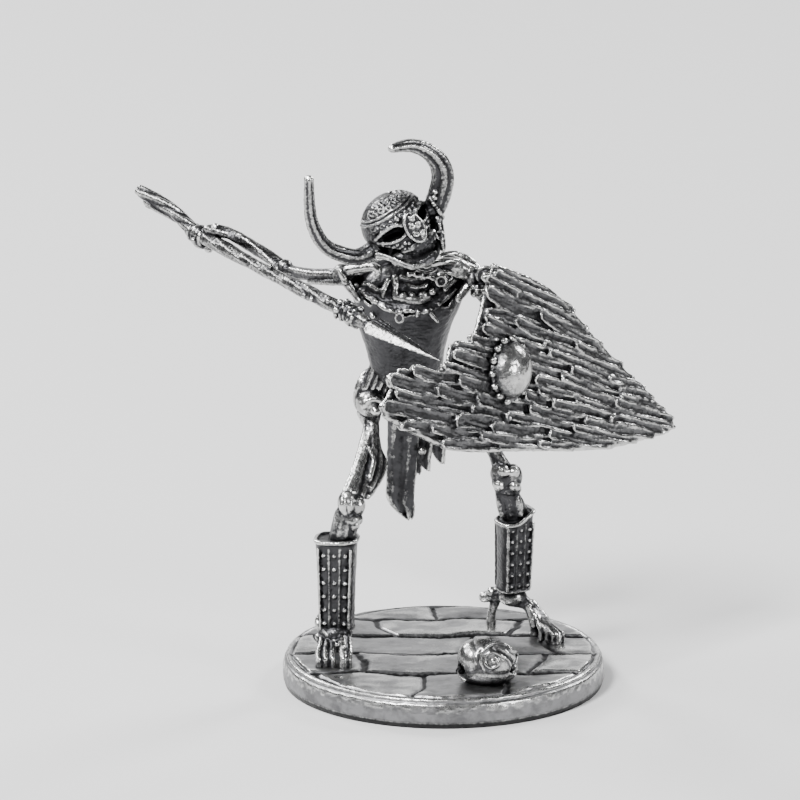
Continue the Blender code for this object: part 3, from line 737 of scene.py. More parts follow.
def spear_tip():
    return on_shield(TIP_ALONG * unit(), TIP_UP * unit(),
                     sizes().shield_thickness / 2 + TIP_GAP + 0.25 * unit())


HEAD_AXES = frame_of(Vector((0.20, -0.97, 0.07)), Vector((-0.55, 0.23, 0.80)))


def in_head(x, y, z):
    """A place in the helmet's own frame: x to its left ear, y to its back, z to its crown."""
    return at(-3.80, -4.0, 41.8) + HEAD_AXES @ Vector((x, y, z)) * unit()


# The face is turned from the skull's middle towards the shield side.
FACE_YAW = 0.28
HELM_AXES = HEAD_AXES @ Matrix.Rotation(FACE_YAW, 3, "Z")
HELM_WIDE, HELM_DEEP, HELM_HIGH, HELM_WAIST = 3.05, 3.5, 2.80, 0.45


def in_helm(x, y, z):
    """A place in the helmet shell's frame, whose front is the nose guard."""
    return in_head(-0.55, 0.30, 0) + HELM_AXES @ Vector((x, y, z)) * unit()


def helm_ring(height):
    """Half width, half depth and steepness of the shell at a height above the eyes."""
    above = max(0.0, height - HELM_WAIST) / HELM_HIGH
    flat = sqrt(max(0.001, 1 - above * above))
    taper = 1 - 0.07 * max(0.0, HELM_WAIST - height)
    return HELM_WIDE * taper * flat, HELM_DEEP * taper * flat, above


def on_helm(angle, height, out=0.0):
    """A place on the shell: degrees round from the nose guard, and height above the eyes."""
    wide, deep, above = helm_ring(height)
    turn = radians(angle)
    spread = out * (1 - 0.5 * above)
    return in_helm((wide + spread) * sin(turn), -(deep + spread) * cos(turn), height + out * above)


def on_face(x, height, out=0.0):
    """A place on the front of the shell, by its distance from the nose."""
    wide = helm_ring(height)[0]
    return on_helm(degrees(asin(max(-0.98, min(0.98, x / wide)))), height, out)


def mask_edge(x):
    """Height of the mask's lower edge, which rises from the nose towards the ears."""
    return max(-1.6, -1.11 + 1.05 * (abs(x) - 1.75))


def add_shell(clay):
    rings = []
    heights = [-1.7 + 2.15 * i / 19 for i in range(19)]
    heights += [HELM_WAIST + HELM_HIGH * sin(pi / 2 * i / 30) for i in range(31)]
    axes = HELM_AXES * unit()
    for height in heights:
        wide, deep, _ = helm_ring(height)
        rings.append((in_helm(0, 0, height), axes @ Vector((wide, 0, 0)), axes @ Vector((0, deep, 0)), 2.05))

    def sunk(place, share, angle):
        """Eye sockets, and the open face below the mask."""
        local = HELM_AXES.transposed() @ (place - in_helm(0, 0, 0)) / unit()
        if local.y > -0.6:
            return place
        out = abs(local.x)
        push = 1.35 * exp(-((out - 1.72) / 0.98) ** 4 - ((local.z - 0.40 - 0.16 * (out - 1.72)) / 0.50) ** 4)
        below = max(0.0, min(1.0, (mask_edge(out) - 0.12 - local.z) / 0.3))
        push = max(push, 1.0 * below)
        return place + HELM_AXES @ Vector((-0.25 * push * copysign(1, local.x), push, 0)) * unit()

    clay.roll(rings, 110, sunk)


def add_curl(clay, x, height, reach, way, radius, turns=1.15, start=0.0):
    """A small spiral scroll laid on the shell."""
    line = []
    for i in range(13):
        share = i / 12
        turn = way * (start + 2 * pi * turns * share)
        size = reach * (1 - 0.72 * share)
        line.append((on_face(x + size * cos(turn), height + size * sin(turn), 0.05), radius))
    clay.rod(line, 2)


def add_helmet(clay):
    add_shell(clay)
    # Double brow line across the forehead
    for lift, radius in ((1.84, 0.15), (2.16, 0.13)):
        clay.rod([(on_helm(a, lift + 0.10 * cos(radians(a)) ** 4, 0.04), radius)
                  for a in range(-110, 111, 10)], 2)
    # C-scrolls and dots over it, smaller S-scrolls under it
    for k in range(9):
        x = -2.45 + 0.61 * k
        shrink = sqrt(max(0.1, 1 - (x / 2.9) ** 2))
        add_curl(clay, x * 0.93, 2.52, 0.27 * (0.6 + 0.4 * shrink), 1 if k % 2 else -1, 0.11, start=0.8 * k)
        clay.balls([on_face(x * 0.86 + 0.28, 2.82, 0.03)], 0.12)
    for k in range(10):
        x = -2.55 + 0.566 * k
        add_curl(clay, x, 1.46, 0.22, -1 if k % 2 else 1, 0.11, turns=0.9, start=1.7 * k)
    for k in range(5):
        add_curl(clay, -1.2 + 0.6 * k, 2.92, 0.18, 1 if k % 2 else -1, 0.09, turns=0.8, start=k)
    # Lumpy rims round both eyes
    for side in (-1, 1):
        brow = [(-0.62, 0.62), (-1.1, 1.02), (-1.72, 1.12), (-2.3, 1.0), (-2.85, 0.60)]
        clay.rod([(on_face(-side * x, z, 0.10), 0.19) for x, z in brow], 3)
        clay.balls([on_face(-side * x, z + 0.10, 0.18) for x, z in brow[:-1]], 0.17)
        under = [(-0.70, -0.02), (-1.2, -0.27), (-1.75, -0.30), (-2.3, -0.16), (-2.8, 0.22)]
        clay.rod([(on_face(-side * x, z, 0.06), 0.15) for x, z in under], 3)
        # Bumps on the cheek plate, and the beads along its edge
        for k in range(7):
            x = 0.85 + 0.29 * k
            low = mask_edge(x)
            clay.balls([on_face(side * x, low + 0.06, 0.08)], 0.14)
            if -0.45 - low > 0.2:
                clay.balls([on_face(side * (x + 0.1), (low - 0.42) / 2 + (0.12 if k % 2 else -0.1), 0.06)],
                           0.18)
        clay.rod([(on_face(side * x, mask_edge(x) - 0.05, 0.02), 0.12)
                  for x in (0.7, 1.1, 1.5, 1.9, 2.3, 2.65)], 3)
    # Nose guard: a tongue with a raised rim and curls, hung from the brow
    clay.egg(in_helm(0.0, -3.62, 0.0), 0.93, 0.52, 1.55, turn=HELM_AXES)
    tongue = []
    for i in range(25):
        angle = 2 * pi * i / 24
        tongue.append((in_helm(0.88 * cos(angle), -3.80 - 0.10 * cos(angle) ** 2, 1.48 * sin(angle)), 0.12))
    clay.rod(tongue, 2)
    for way, x, z in ((1, 0.26, -0.78), (-1, -0.30, -0.42), (1, 0.30, 0.06), (-1, -0.28, 0.42),
                      (1, 0.18, 0.88)):
        curl = []
        for i in range(11):
            turn = way * (0.5 + 0.62 * i)
            size = 0.30 * (1 - 0.075 * i)
            curl.append((in_helm(x + size * cos(turn), -4.12, z + size * sin(turn)), 0.125))
        clay.rod(curl, 2)
    clay.balls([in_helm(0.05, -4.12, -1.1), in_helm(0.0, -4.1, 1.15)], 0.15)
    # Ear flap that hangs by the shield-side cheek, with its ring
    clay.bone((2.95, -0.6, -1.3, 0.40), (2.45, -1.0, -2.4, 0.34), (1.85, -1.2, -3.7, 0.30), place=in_head)
    clay.bone((2.72, -1.25, -1.6, 0.16), (2.22, -1.5, -2.7, 0.15), (1.7, -1.6, -3.8, 0.17), steps=3,
              place=in_head)
    clay.hoop((2.25, -1.5, -2.5), 0.34, 0.40, 0.12, range(0, 361, 40), in_head)
    # Rolled rim round the back
    clay.rod([(on_helm(a, -1.45, 0.05), 0.24) for a in range(85, 276, 19)], 3)
    for k in range(7):
        clay.balls([on_helm(100 + 26.6 * k, -0.95, 0.02)], 0.17)


HORNS = (
    ((2.6, 0.3, -0.5, 1.05), (3.4, 0.2, -0.35, 1.08), (5.0, 0.0, 1.1, 1.06), (5.65, -0.15, 2.2, 1.00),
     (5.75, -0.4, 3.5, 0.90), (5.25, -0.7, 5.0, 0.76), (4.2, -1.1, 6.2, 0.62), (2.7, -1.6, 6.95, 0.42)),
    ((-2.8, 0.3, -0.6, 0.86), (-4.7, 0.1, -0.45, 0.80), (-5.7, -0.1, 0.2, 0.77), (-6.9, -0.5, 1.9, 0.72),
     (-7.25, -1.1, 3.7, 0.65), (-6.8, -1.9, 6.1, 0.56), (-5.25, -2.7, 9.15, 0.44)),
)


def add_horns(clay):
    """One horn sweeps up and over, the other is slimmer and stands up; both have grooves along them."""
    for stations, twist in zip(HORNS, (0.9, -0.8)):
        points = [(in_head(x, y, z), radius) for x, y, z, radius in stations]
        clay.bundle(points, strands=6, reach=0.66, share=0.40, twist=twist, steps=6, core=0.90)
    for side, size, rise in ((-1, 0.84, -0.55), (1, 1.18, -0.45)):
        collar = []
        for i in range(13):
            angle = 2 * pi * i / 12
            collar.append((in_head(side * 3.35, 0.2 + size * cos(angle), rise + size * sin(angle)), 0.20))
        clay.rod(collar, 2)
        clay.balls([place for place, _ in collar[::2]], 0.24)
    clay.egg(in_head(-4.0, -0.9, 0.65), 0.38)
    clay.balls([in_head(3.3 + 0.35 * k, -1.0, 0.2 + 0.45 * k) for k in range(3)], 0.26)


def add_skull(clay):
    clay.egg(in_head(0.1, 0.9, -1.2), 2.45, 2.35, 1.75, turn=HEAD_AXES)
    # Upper jaw and its teeth, under the nose guard
    clay.bone((-1.3, -2.1, -1.7, 0.42), (0.4, -2.7, -1.75, 0.46), (1.7, -1.9, -1.75, 0.42), place=in_head)
    clay.balls([in_head(0.4 + 0.36 * k, -2.95 + 0.05 * k * k, -2.15) for k in range(-4, 5)], 0.19)
    # Cheek bone to chin on the spear side: a bright ridge that ends in a knob
    ridge = ((-3.5, -0.6, -1.0, 0.38), (-2.85, -2.0, -1.5, 0.25), (-2.25, -2.7, -2.3, 0.23),
             (-1.6, -2.95, -3.05, 0.34))
    clay.egg(in_head(-1.7, -1.2, -2.2), 1.2, 1.2, 0.9, turn=HEAD_AXES)
    clay.bone(*ridge, steps=5, place=in_head)
    clay.rod([(in_head(x + 0.1, y - 0.28, z + 0.12), radius * 0.45) for x, y, z, radius in ridge], 5)
    # Lower jaw round the open mouth
    jaw = ((-1.6, -2.8, -3.1, 0.34), (-0.7, -2.8, -3.45, 0.32), (0.4, -2.5, -3.65, 0.34),
           (1.3, -1.7, -3.4, 0.30), (1.9, -0.7, -2.6, 0.34), (2.3, 0.1, -1.6, 0.40))
    clay.bone(*jaw, steps=5, place=in_head)
    clay.balls([in_head(-0.9 + 0.37 * k, -2.95 + 0.045 * (k - 2) ** 2, -3.1 - 0.03 * k) for k in range(6)],
               0.17)
    clay.egg(in_head(-0.2, -0.6, -2.6), 2.1, 1.5, 1.25, turn=HEAD_AXES)
    # Neck bones
    clay.bone((-3.1, 0.8, 35.4, 1.0), (-3.0, 0.1, 37.2, 0.72), (-3.3, -1.6, 39.2, 0.85),
              (-3.6, -2.6, 40.6, 1.2))
    for i in range(4):
        clay.knob(-3.05 - 0.08 * i, 0.45 - 0.55 * i, 36.0 + 0.95 * i, 0.98)


def cast_head_piece():
    clay = Clay("horned_helmet")
    add_helmet(clay)
    add_horns(clay)
    return clay.fuse(cast_skin)


def cast_skull_piece():
    clay = Clay("skull_and_neck")
    add_skull(clay)
    return clay.fuse(cast_skin)


def add_jerkin(clay):
    """Leather jerkin: an open-topped shell that narrows to the waist and leans to the front."""
    rows = (
        (-3.55, 2.9, 25.7, 3.00, 2.2), (-3.5, 2.6, 26.6, 3.35, 2.5), (-3.55, 1.9, 28.6, 3.70, 2.75),
        (-3.60, 1.0, 31.0, 4.35, 3.0), (-3.35, 0.3, 32.8, 4.95, 3.1), (-3.2, -0.1, 34.0, 5.35, 3.0),
    )
    outer = smoothed(rows, 6)
    inner = [(x, y, z, wide - 0.55, deep - 0.55) for x, y, z, wide, deep in outer if z > 32.0][::-1]
    rings = []
    for x, y, z, wide, deep in outer + inner:
        rings.append((at(x, y, z), Vector((wide * unit(), 0, 0)), Vector((0, deep * unit(), 0.35 * unit())),
                      2.3))
    turn = len(outer)

    def folded(place, share, angle):
        """Faint upright folds, a torn hem, and a neckline that hangs in front and climbs to the shoulders."""
        row = share * (len(rings) - 1)
        rim = exp(-((row - turn + 0.5) / 2.2) ** 2)
        near_rim = exp(-((row - turn + 0.5) / 7.0) ** 2)
        hem = exp(-(row / 2.0) ** 2)
        centre = at(-3.5, 1.0, 30.0)
        out = Vector((place.x - centre.x, place.y - centre.y, 0)).normalized()
        fold = 0.025 * cos(9 * angle + 0.9 * sin(3 * angle) + row * 0.05) + 0.015 * cos(19 * angle)
        rag = 0.16 * sin(9 * angle) + 0.14 * sin(17 * angle + 1.0) + 0.10 * sin(31 * angle)
        hang = 1.2 * cos(angle) ** 2 - 0.65 * max(0.0, -sin(angle)) ** 2
        return place + out * fold * unit() * (1 if row < turn else 0.2) + Vector((0, 0, 1)) * unit() * (
            rag * rim + hang * near_rim - 0.4 * hem * abs(sin(4.5 * angle)))

    clay.roll(rings, 96, folded)
    # Torn and beaded edge of the neckline
    edge = ((-8.1, -0.9, 35.2), (-7.2, -2.0, 34.5), (-6.35, -2.6, 34.0), (-5.4, -3.1, 33.5),
            (-4.5, -3.3, 33.25), (-3.5, -3.35, 33.35), (-2.5, -3.35, 33.35), (-1.6, -3.2, 33.2),
            (-0.7, -2.8, 33.6), (0.4, -2.2, 34.4), (1.4, -1.5, 35.2), (2.3, -0.9, 35.7))
    clay.rod([(at(*place), 0.17 + 0.07 * (i % 2)) for i, place in enumerate(edge)], 4)
    for back, rise, radius in ((0.35, 0.20, 0.40), (0.75, 0.65, 0.50)):
        clay.rod([(at(x, y + back, z + rise), radius) for x, y, z in edge[1:-1]], 4)
    chance = random.Random(11)
    for i in range(len(edge) - 1):
        for _ in range(2):
            share = chance.random()
            low, high = Vector(edge[i]), Vector(edge[i + 1])
            x, y, z = low.lerp(high, share) + Vector((0, -0.12, chance.uniform(-0.16, 0.12)))
            clay.knob(x, y, z, chance.uniform(0.15, 0.25))
    clay.hoop((-4.1, -3.5, 32.7), 0.36, 0.42, 0.11)
    clay.bone((-1.2, -3.3, 33.1, 0.24), (-0.9, -3.35, 32.7, 0.20), (-0.6, -3.3, 32.3, 0.13), steps=3)
    clay.bone((-2.4, -3.5, 33.3, 0.22), (-2.5, -3.5, 32.9, 0.14), steps=3)
    clay.bone((-6.7, -2.5, 32.9, 0.16), (-6.5, -2.7, 32.6, 0.24), (-6.3, -2.7, 32.3, 0.14), steps=3)


def add_chest(clay):
    # Breast inside the neckline, with its ribs and breast bone
    clay.egg(at(-3.3, -0.1, 34.2), 4.7, 2.75, 2.9)
    clay.egg(at(-4.9, 1.2, 36.8), 2.3, 1.1, 1.15)
    clay.bone((-4.5, -2.2, 36.2, 0.30), (-4.45, -2.65, 35.4, 0.34), (-4.5, -2.9, 34.5, 0.30))
    clay.bone((-5.1, -2.2, 35.9, 0.26), (-5.55, -2.45, 35.0, 0.30), (-5.6, -2.6, 34.4, 0.22))
    clay.bone((-6.9, -1.8, 35.4, 0.22), (-6.2, -2.2, 35.1, 0.26), (-5.8, -2.4, 35.0, 0.22))
    clay.bone((-4.3, -2.85, 34.5, 0.34), (-3.3, -3.0, 34.3, 0.42), (-2.4, -3.0, 34.25, 0.46),
              (-1.5, -2.8, 34.45, 0.38))
    for x, z, radius in ((-3.75, 34.6, 0.44), (-2.9, 34.6, 0.38), (-1.9, 34.6, 0.50), (-1.1, 35.0, 0.34)):
        clay.knob(x, -2.8, z, radius)
    clay.bone((-3.4, -2.3, 35.6, 0.24), (-2.6, -2.5, 35.35, 0.26), (-1.7, -2.4, 35.45, 0.24))
    clay.bone((-3.9, -2.1, 36.2, 0.26), (-3.0, -2.2, 36.0, 0.22), (-2.0, -2.1, 36.1, 0.22))
    clay.bone((0.1, -2.2, 35.1, 0.30), (0.7, -1.8, 35.6, 0.32), (1.3, -1.4, 36.0, 0.30))
    # Spine and shoulder blades
    for i in range(10):
        clay.knob(-3.3 + 0.02 * i, 3.2 - 0.16 * i, 27.5 + 0.95 * i, 0.55)
    clay.egg(at(-3.2, 1.4, 35.0), 4.9, 1.15, 1.35)
    for side in (-1, 1):
        clay.egg(at(-3.2 + side * 3.4, 2.1, 34.3), 1.7, 0.6, 1.9, turn=tilted(18 * side))
        clay.bone((-3.2 + side * 1.6, 2.4, 34.9, 0.22), (-3.2 + side * 3.4, 2.7, 35.3, 0.26),
                  (-3.2 + side * 4.9, 2.2, 35.9, 0.3))
    # Collar bones: the spear-side one is hooked at its inner end, the other lies under a shoulder plate
    clay.bone((-9.4, -0.7, 36.1, 0.72), (-8.6, -1.3, 36.65, 0.50), (-7.5, -2.0, 37.05, 0.46),
              (-6.5, -2.8, 37.35, 0.42), (-6.05, -3.1, 37.2, 0.38), (-6.1, -3.15, 36.8, 0.28))
    clay.bone((-9.2, -0.9, 35.6, 0.46), (-8.5, -1.6, 34.8, 0.36), (-7.9, -2.1, 34.0, 0.28))
    clay.bone((-9.5, -1.3, 36.6, 0.30), (-9.2, -1.5, 35.9, 0.34), (-9.0, -1.4, 35.3, 0.26))
    clay.bone((-0.9, -2.4, 37.5, 0.34), (0.0, -2.6, 37.85, 0.36), (1.3, -1.9, 37.55, 0.38),
              (2.5, -1.2, 36.7, 0.55), (3.0, -0.9, 35.9, 0.75))
    clay.egg(at(1.15, -1.75, 37.05), 1.75, 0.75, 0.95, turn=tilted(29))
    clay.bone((-0.2, -1.2, 38.1, 0.26), (1.1, -0.5, 38.0, 0.28), (2.3, -0.3, 37.3, 0.42),
              (3.0, -0.5, 36.4, 0.55))
    clay.bone((0.2, -2.4, 36.8, 0.24), (1.2, -2.1, 36.4, 0.30), (2.1, -1.6, 36.0, 0.36))
    clay.bone((2.6, -1.4, 35.8, 0.60), (1.9, -2.0, 35.0, 0.46), (1.3, -2.3, 34.2, 0.38))
    # Ragged collar under the chin, and the ring brooch
    for i in range(7):
        clay.knob(-3.2 + 0.36 * i, -2.55 - 0.04 * i, 36.55 - 0.05 * i + 0.12 * (i % 2), 0.24)
    clay.bone((-2.5, -2.4, 36.95, 0.16), (-1.7, -2.6, 36.75, 0.17), (-0.9, -2.6, 36.95, 0.16),
              (-0.5, -2.5, 37.4, 0.15))
    clay.bone((-2.2, -2.2, 37.35, 0.15), (-1.6, -2.4, 37.2, 0.16), (-1.0, -2.4, 37.45, 0.15))
    clay.hoop((-0.25, -3.0, 36.1), 0.46, 0.46, 0.155)
    clay.bone((-0.25, -1.6, 36.1, 0.5), (-0.25, -2.9, 36.1, 0.2))
    # Shoulders
    clay.bone((-8.9, 0.2, 35.9, 0.85), (-6.4, 1.2, 36.0, 0.7), (-3.2, 1.4, 36.2, 0.8), (0.2, 1.0, 36.2, 0.7),
              (2.5, 0.0, 35.7, 0.85))


def cast_torso_piece():
    clay = Clay("torn_jerkin_and_chest")
    add_jerkin(clay)
    add_chest(clay)
    return clay.fuse(cast_skin)


def add_strip(clay, top, tip, half_width, tip_share, folds):
    """A torn tongue of cloth that ends in a slanting point, with soft folds down its length."""
    rings = []
    for i in range(25):
        share = i / 24
        wide = half_width * (1 - (1 - tip_share) * share) * (1 if i < 20 else sqrt(1 - ((i - 19) / 5.4) ** 2))
        sway = 0.25 * sin(3.1 * share + half_width)
        centre = top.lerp(tip, share) + Vector((sway * unit(), 0.3 * sin(4 * share) * unit(), 0))
        centre.x += 0.10 * half_width * max(0, i - 20) * unit()
        rings.append((centre, Vector((wide * unit(), 0, 0)), Vector((0, 0.27 * unit(), 0)), 2.4))

    def rippled(place, share, angle):
        wave = 0.17 * cos(folds * pi * cos(angle) + 1.2 * share) * (1 - 0.3 * share)
        wave += 0.16 * noise_at(2.2 * cos(angle), 3.5 * share, half_width)
        slant = 0.45 * half_width * share ** 5 * (1 - cos(angle)) / 2
        tear = 0.22 * share ** 6 * sin(7 * angle)
        return place + Vector((0, wave, slant + tear)) * unit()

    clay.roll(rings, 48, rippled)


def cast_hips_piece():
    clay = Clay("pelvis_and_loincloth")
    clay.egg(at(-2.2, 4.4, 22.5), 4.2, 1.5, 1.25)
    clay.egg(at(-6.85, 3.1, 24.1), 1.30, 1.25, 2.0, turn=tilted(8))
    clay.bone((-7.9, 2.4, 22.6, 0.42), (-8.0, 2.2, 23.9, 0.40), (-7.5, 2.4, 25.3, 0.36),
              (-6.4, 3.2, 26.1, 0.34))
    clay.bone((-7.3, 1.9, 23.4, 0.30), (-7.1, 1.7, 24.5, 0.28), (-6.6, 1.9, 25.5, 0.24))
    clay.bone((1.9, 4.4, 22.6, 0.8), (2.4, 4.2, 24.0, 0.62), (1.7, 4.6, 25.2, 0.42), (-0.4, 4.9, 25.0, 0.38))
    clay.bone((-6.6, 2.6, 22.9, 0.5), (-5.6, 2.4, 24.2, 0.35), (-5.6, 2.9, 25.6, 0.32),
              (-5.4, 3.2, 26.8, 0.30))
    clay.egg(at(-6.85, 1.9, 23.1), 1.35, 1.15, 1.40)
    clay.bone((-5.6, 2.5, 27.4, 1.0), (-6.1, 2.5, 25.8, 1.0), (-6.8, 2.5, 24.2, 1.25))
    for shift in (-0.5, 0.1, 0.7):
        clay.bone((-5.8 + shift, 1.6, 27.0, 0.22), (-6.2 + shift, 1.5, 25.8, 0.26),
                  (-6.7 + shift, 1.3, 24.6, 0.22))
    clay.hoop((-6.45, 0.95, 22.85), 0.95, 0.80, 0.30, range(-20, 181, 25))
    clay.knob(-6.3, 0.95, 22.5, 0.45)
    clay.bone((-7.6, 2.6, 21.9, 0.5), (-7.2, 2.8, 21.0, 0.45), (-6.9, 2.9, 20.2, 0.4))
    clay.bone((-4.6, 4.4, 22.5, 0.8), (-5.0, 4.0, 24.6, 0.6), (-5.2, 3.6, 26.8, 0.65), (-4.4, 2.8, 28.6, 0.8))
    for i in range(4):
        clay.knob(-4.9 - 0.12 * i, 4.0 - 0.22 * i, 23.7 + 0.9 * i, 0.88)
        clay.bone((-4.9 - 0.12 * i, 4.6 - 0.22 * i, 23.7 + 0.9 * i, 0.3),
                  (-4.9 - 0.12 * i, 5.5 - 0.22 * i, 23.4 + 0.9 * i, 0.22), steps=1)
    clay.bone((-7.0, 3.2, 23.0, 0.34), (-4.4, 2.7, 22.4, 0.34), (-1.4, 2.9, 22.4, 0.34),
              (2.0, 3.5, 23.0, 0.34))
    add_strip(clay, at(-4.0, 4.4, 22.2), at(-3.8, 5.0, 10.8), 1.55, 0.84, 2)
    add_strip(clay, at(-1.8, 5.0, 22.2), at(-1.7, 6.0, 15.2), 0.95, 0.60, 1)
    add_strip(clay, at(-0.5, 5.2, 22.2), at(-0.35, 6.4, 15.8), 0.85, 0.70, 1)
    add_strip(clay, at(-3.0, 6.2, 22.4), at(-3.3, 7.2, 14.4), 1.9, 0.7, 2)
    clay.knob(-2.0, 4.6, 17.6, 0.42)
    return clay.fuse(cast_skin)


def sides_of(direction):
    side = direction.cross(Vector((0, 0, 1))).normalized()
    return side, side.cross(direction)


def add_fist(clay, centre, line, bar_radius):
    """Four fingers and a thumb round a bar."""
    side, up = sides_of(line)
    for i in range(4):
        middle = centre + line * (i - 1.5) * 0.50 * unit()
        finger = []
        for j in range(8):
            angle = radians(160 - 42 * j)
            reach = bar_radius - 0.02 * unit()
            finger.append((middle + way_out(side, up, angle) * reach,
                           0.18 + (0.06 if j % 2 else 0)))
        clay.rod(finger, 2)
    thumb = []
    for j in range(5):
        angle = radians(200 + 35 * j)
        reach = bar_radius + 0.16 * unit()
        thumb.append((centre + line * (1.2 - 0.25 * j) * unit()
                      + way_out(side, up, angle) * reach, 0.32))
    clay.rod(thumb, 2)


BLADE_FACING = Vector((0.1, -0.80, 0.60))
BLADE_GROOVES = (0.32, 0.56, 0.80)


def blade_share(share):
    """Half width of the blade as a share of its widest, from its root at 0.10 to its tip at 1."""
    return 1.02 - 0.98 * ((share - 0.10) / 0.90) ** 1.15


def spear_line():
    return (spear_tip() - right_fist()).normalized()


def cast_spear_arm_piece():
    clay = Clay("spear_arm")
    clay.knob(-9.3, -0.5, 36.1, 0.98)
    clay.bone((-9.0, -0.5, 36.0, 0.85), (-10.6, 1.2, 35.5, 0.62), (-13.0, 4.2, 34.8, 0.60),
              (-14.8, 6.0, 34.6, 0.72))
    clay.bone((-9.4, -0.9, 36.0, 0.42), (-10.8, 0.8, 35.7, 0.32), (-12.6, 3.0, 35.2, 0.28),
              (-14.2, 5.0, 35.0, 0.30))
    clay.bone((-9.3, -1.1, 35.5, 0.40), (-10.8, 0.6, 35.0, 0.30), (-12.4, 2.9, 34.4, 0.28))
    clay.knob(-14.7, 6.0, 35.0, 0.72)
    clay.knob(-15.3, 6.2, 34.6, 0.70)
    clay.knob(-14.9, 5.6, 34.4, 0.40)
    forearm = [(at(-15.0, 6.2, 34.8), 0.78), (at(-16.4, 7.2, 35.7), 0.66), (at(-18.3, 8.3, 36.7), 0.64),
               (at(-20.2, 9.3, 37.35), 0.62), (at(-21.8, 10.2, 37.3), 0.74)]
    clay.bundle(forearm, strands=3, reach=0.42, share=0.60, twist=3.6, steps=6, core=0.86)
    for i in range(4):
        clay.knob(-21.2 - 0.42 * i, 9.8 + 0.25 * i, 37.75 - 0.22 * i, 0.40)
    line = spear_line()
    up = sides_of(line)[1]
    clay.egg(right_fist() + up * 0.30 * unit(), 0.92, 0.80, 0.70)
    clay.egg(right_fist() + line * 1.5 * unit() - up * 0.85 * unit(), 0.42)
    add_fist(clay, right_fist(), line, sizes().spear_diameter / 2)
    return clay.fuse(cast_skin)


def cast_spear_piece():
    """Gnarled shaft, bound socket, leaf blade with a midrib, and a butt that has split in two."""
    clay = Clay("spear")
    line, tip = spear_line(), spear_tip()
    side, up = sides_of(line)
    root = tip - line * sizes().blade_length
    start = right_fist() - line * 1.2 * unit()
    radius = sizes().spear_diameter / 2 / unit()
    shaft = []
    for i in range(22):
        share = i / 21
        wave = (side * sin(7 * share) + up * cos(5.3 * share)) * 0.14 * unit()
        swell = 1 + 0.10 * sin(11 * share) + 0.04 * sin(31 * share)
        shaft.append((start.lerp(root, share) + wave * sin(pi * share), radius * swell))
    clay.bundle(shaft, strands=5, reach=0.47, share=0.48, twist=10.0, steps=3, core=0.91)
    chance = random.Random(5)
    for i in range(9):
        place = start.lerp(root, chance.uniform(0.08, 0.92))
        angle = chance.uniform(0, 2 * pi)
        out = way_out(side, up, angle) * radius * 0.8 * unit()
        clay.egg(place + out, 0.28, fine=2)
    # Socket with its cord binding
    socket = [(root - line * 1.9 * unit(), radius * 1.02), (root - line * 1.1 * unit(), radius * 1.22),
              (root - line * 0.2 * unit(), radius * 1.18), (root + line * 0.8 * unit(), radius * 0.75)]
    clay.rod(socket, 3)
    clay.coil([(root - line * 2.3 * unit(), radius * 1.02), (root - line * 1.3 * unit(), radius * 1.16),
               (root - line * 0.3 * unit(), radius * 1.16)], 4, 0.16)
    for i in range(26):
        place = root - line * chance.uniform(0.1, 2.6) * unit()
        angle = chance.uniform(0, 2 * pi)
        out = way_out(side, up, angle) * radius * 1.22 * unit()
        clay.egg(place + out, chance.uniform(0.20, 0.34), fine=2)
    # Blade: square shoulders, a roof ridge along its middle, and grooves in its upper facet
    across = line.cross(BLADE_FACING).normalized()
    out = across.cross(line)
    rings = []
    for i in range(41):
        share = 0.10 + 0.90 * i / 40
        wide = blade_share(share) * min(1.0, 0.55 + 0.16 * i)
        thick = 0.34 * (1 - 0.80 * share) * unit()
        rings.append((root.lerp(tip, share), across * sizes().blade_width / 2 * wide, out * thick, 1.10))

    def fullered(place, share, angle):
        """Three grooves run along the upper facet."""
        level = abs(cos(angle)) / (abs(cos(angle)) + abs(sin(angle)))
        groove = 0.0
        if cos(angle) < 0:
            for mark in BLADE_GROOVES:
                groove += 0.15 * (1 - 0.7 * share) * exp(-((level - mark) / 0.055) ** 2)
        return place - out * groove * unit() * (1 if sin(angle) > 0 else -1)

    clay.roll(rings, 72, fullered)
    # Split butt: two gnarled strands
    for drop, ends, twist in ((0.0, (-27.6, 16.3, 38.5), 4.2), (0.4, (-28.4, 17.2, 39.3), -4.2)):
        middle = at(-25.0 - drop, 13.6 + drop * 0.6, 37.9 + drop * 1.4)
        clay.bundle([(right_fist() + line * 0.5 * unit(), radius * 0.95),
                     (right_fist().lerp(middle, 0.5), radius * 0.90),
                     (middle, radius * 0.92), (at(*ends), radius * 0.92)], strands=4, reach=0.50, share=0.50,
                    twist=twist, steps=7, core=0.75)
    return clay.fuse(cast_skin)


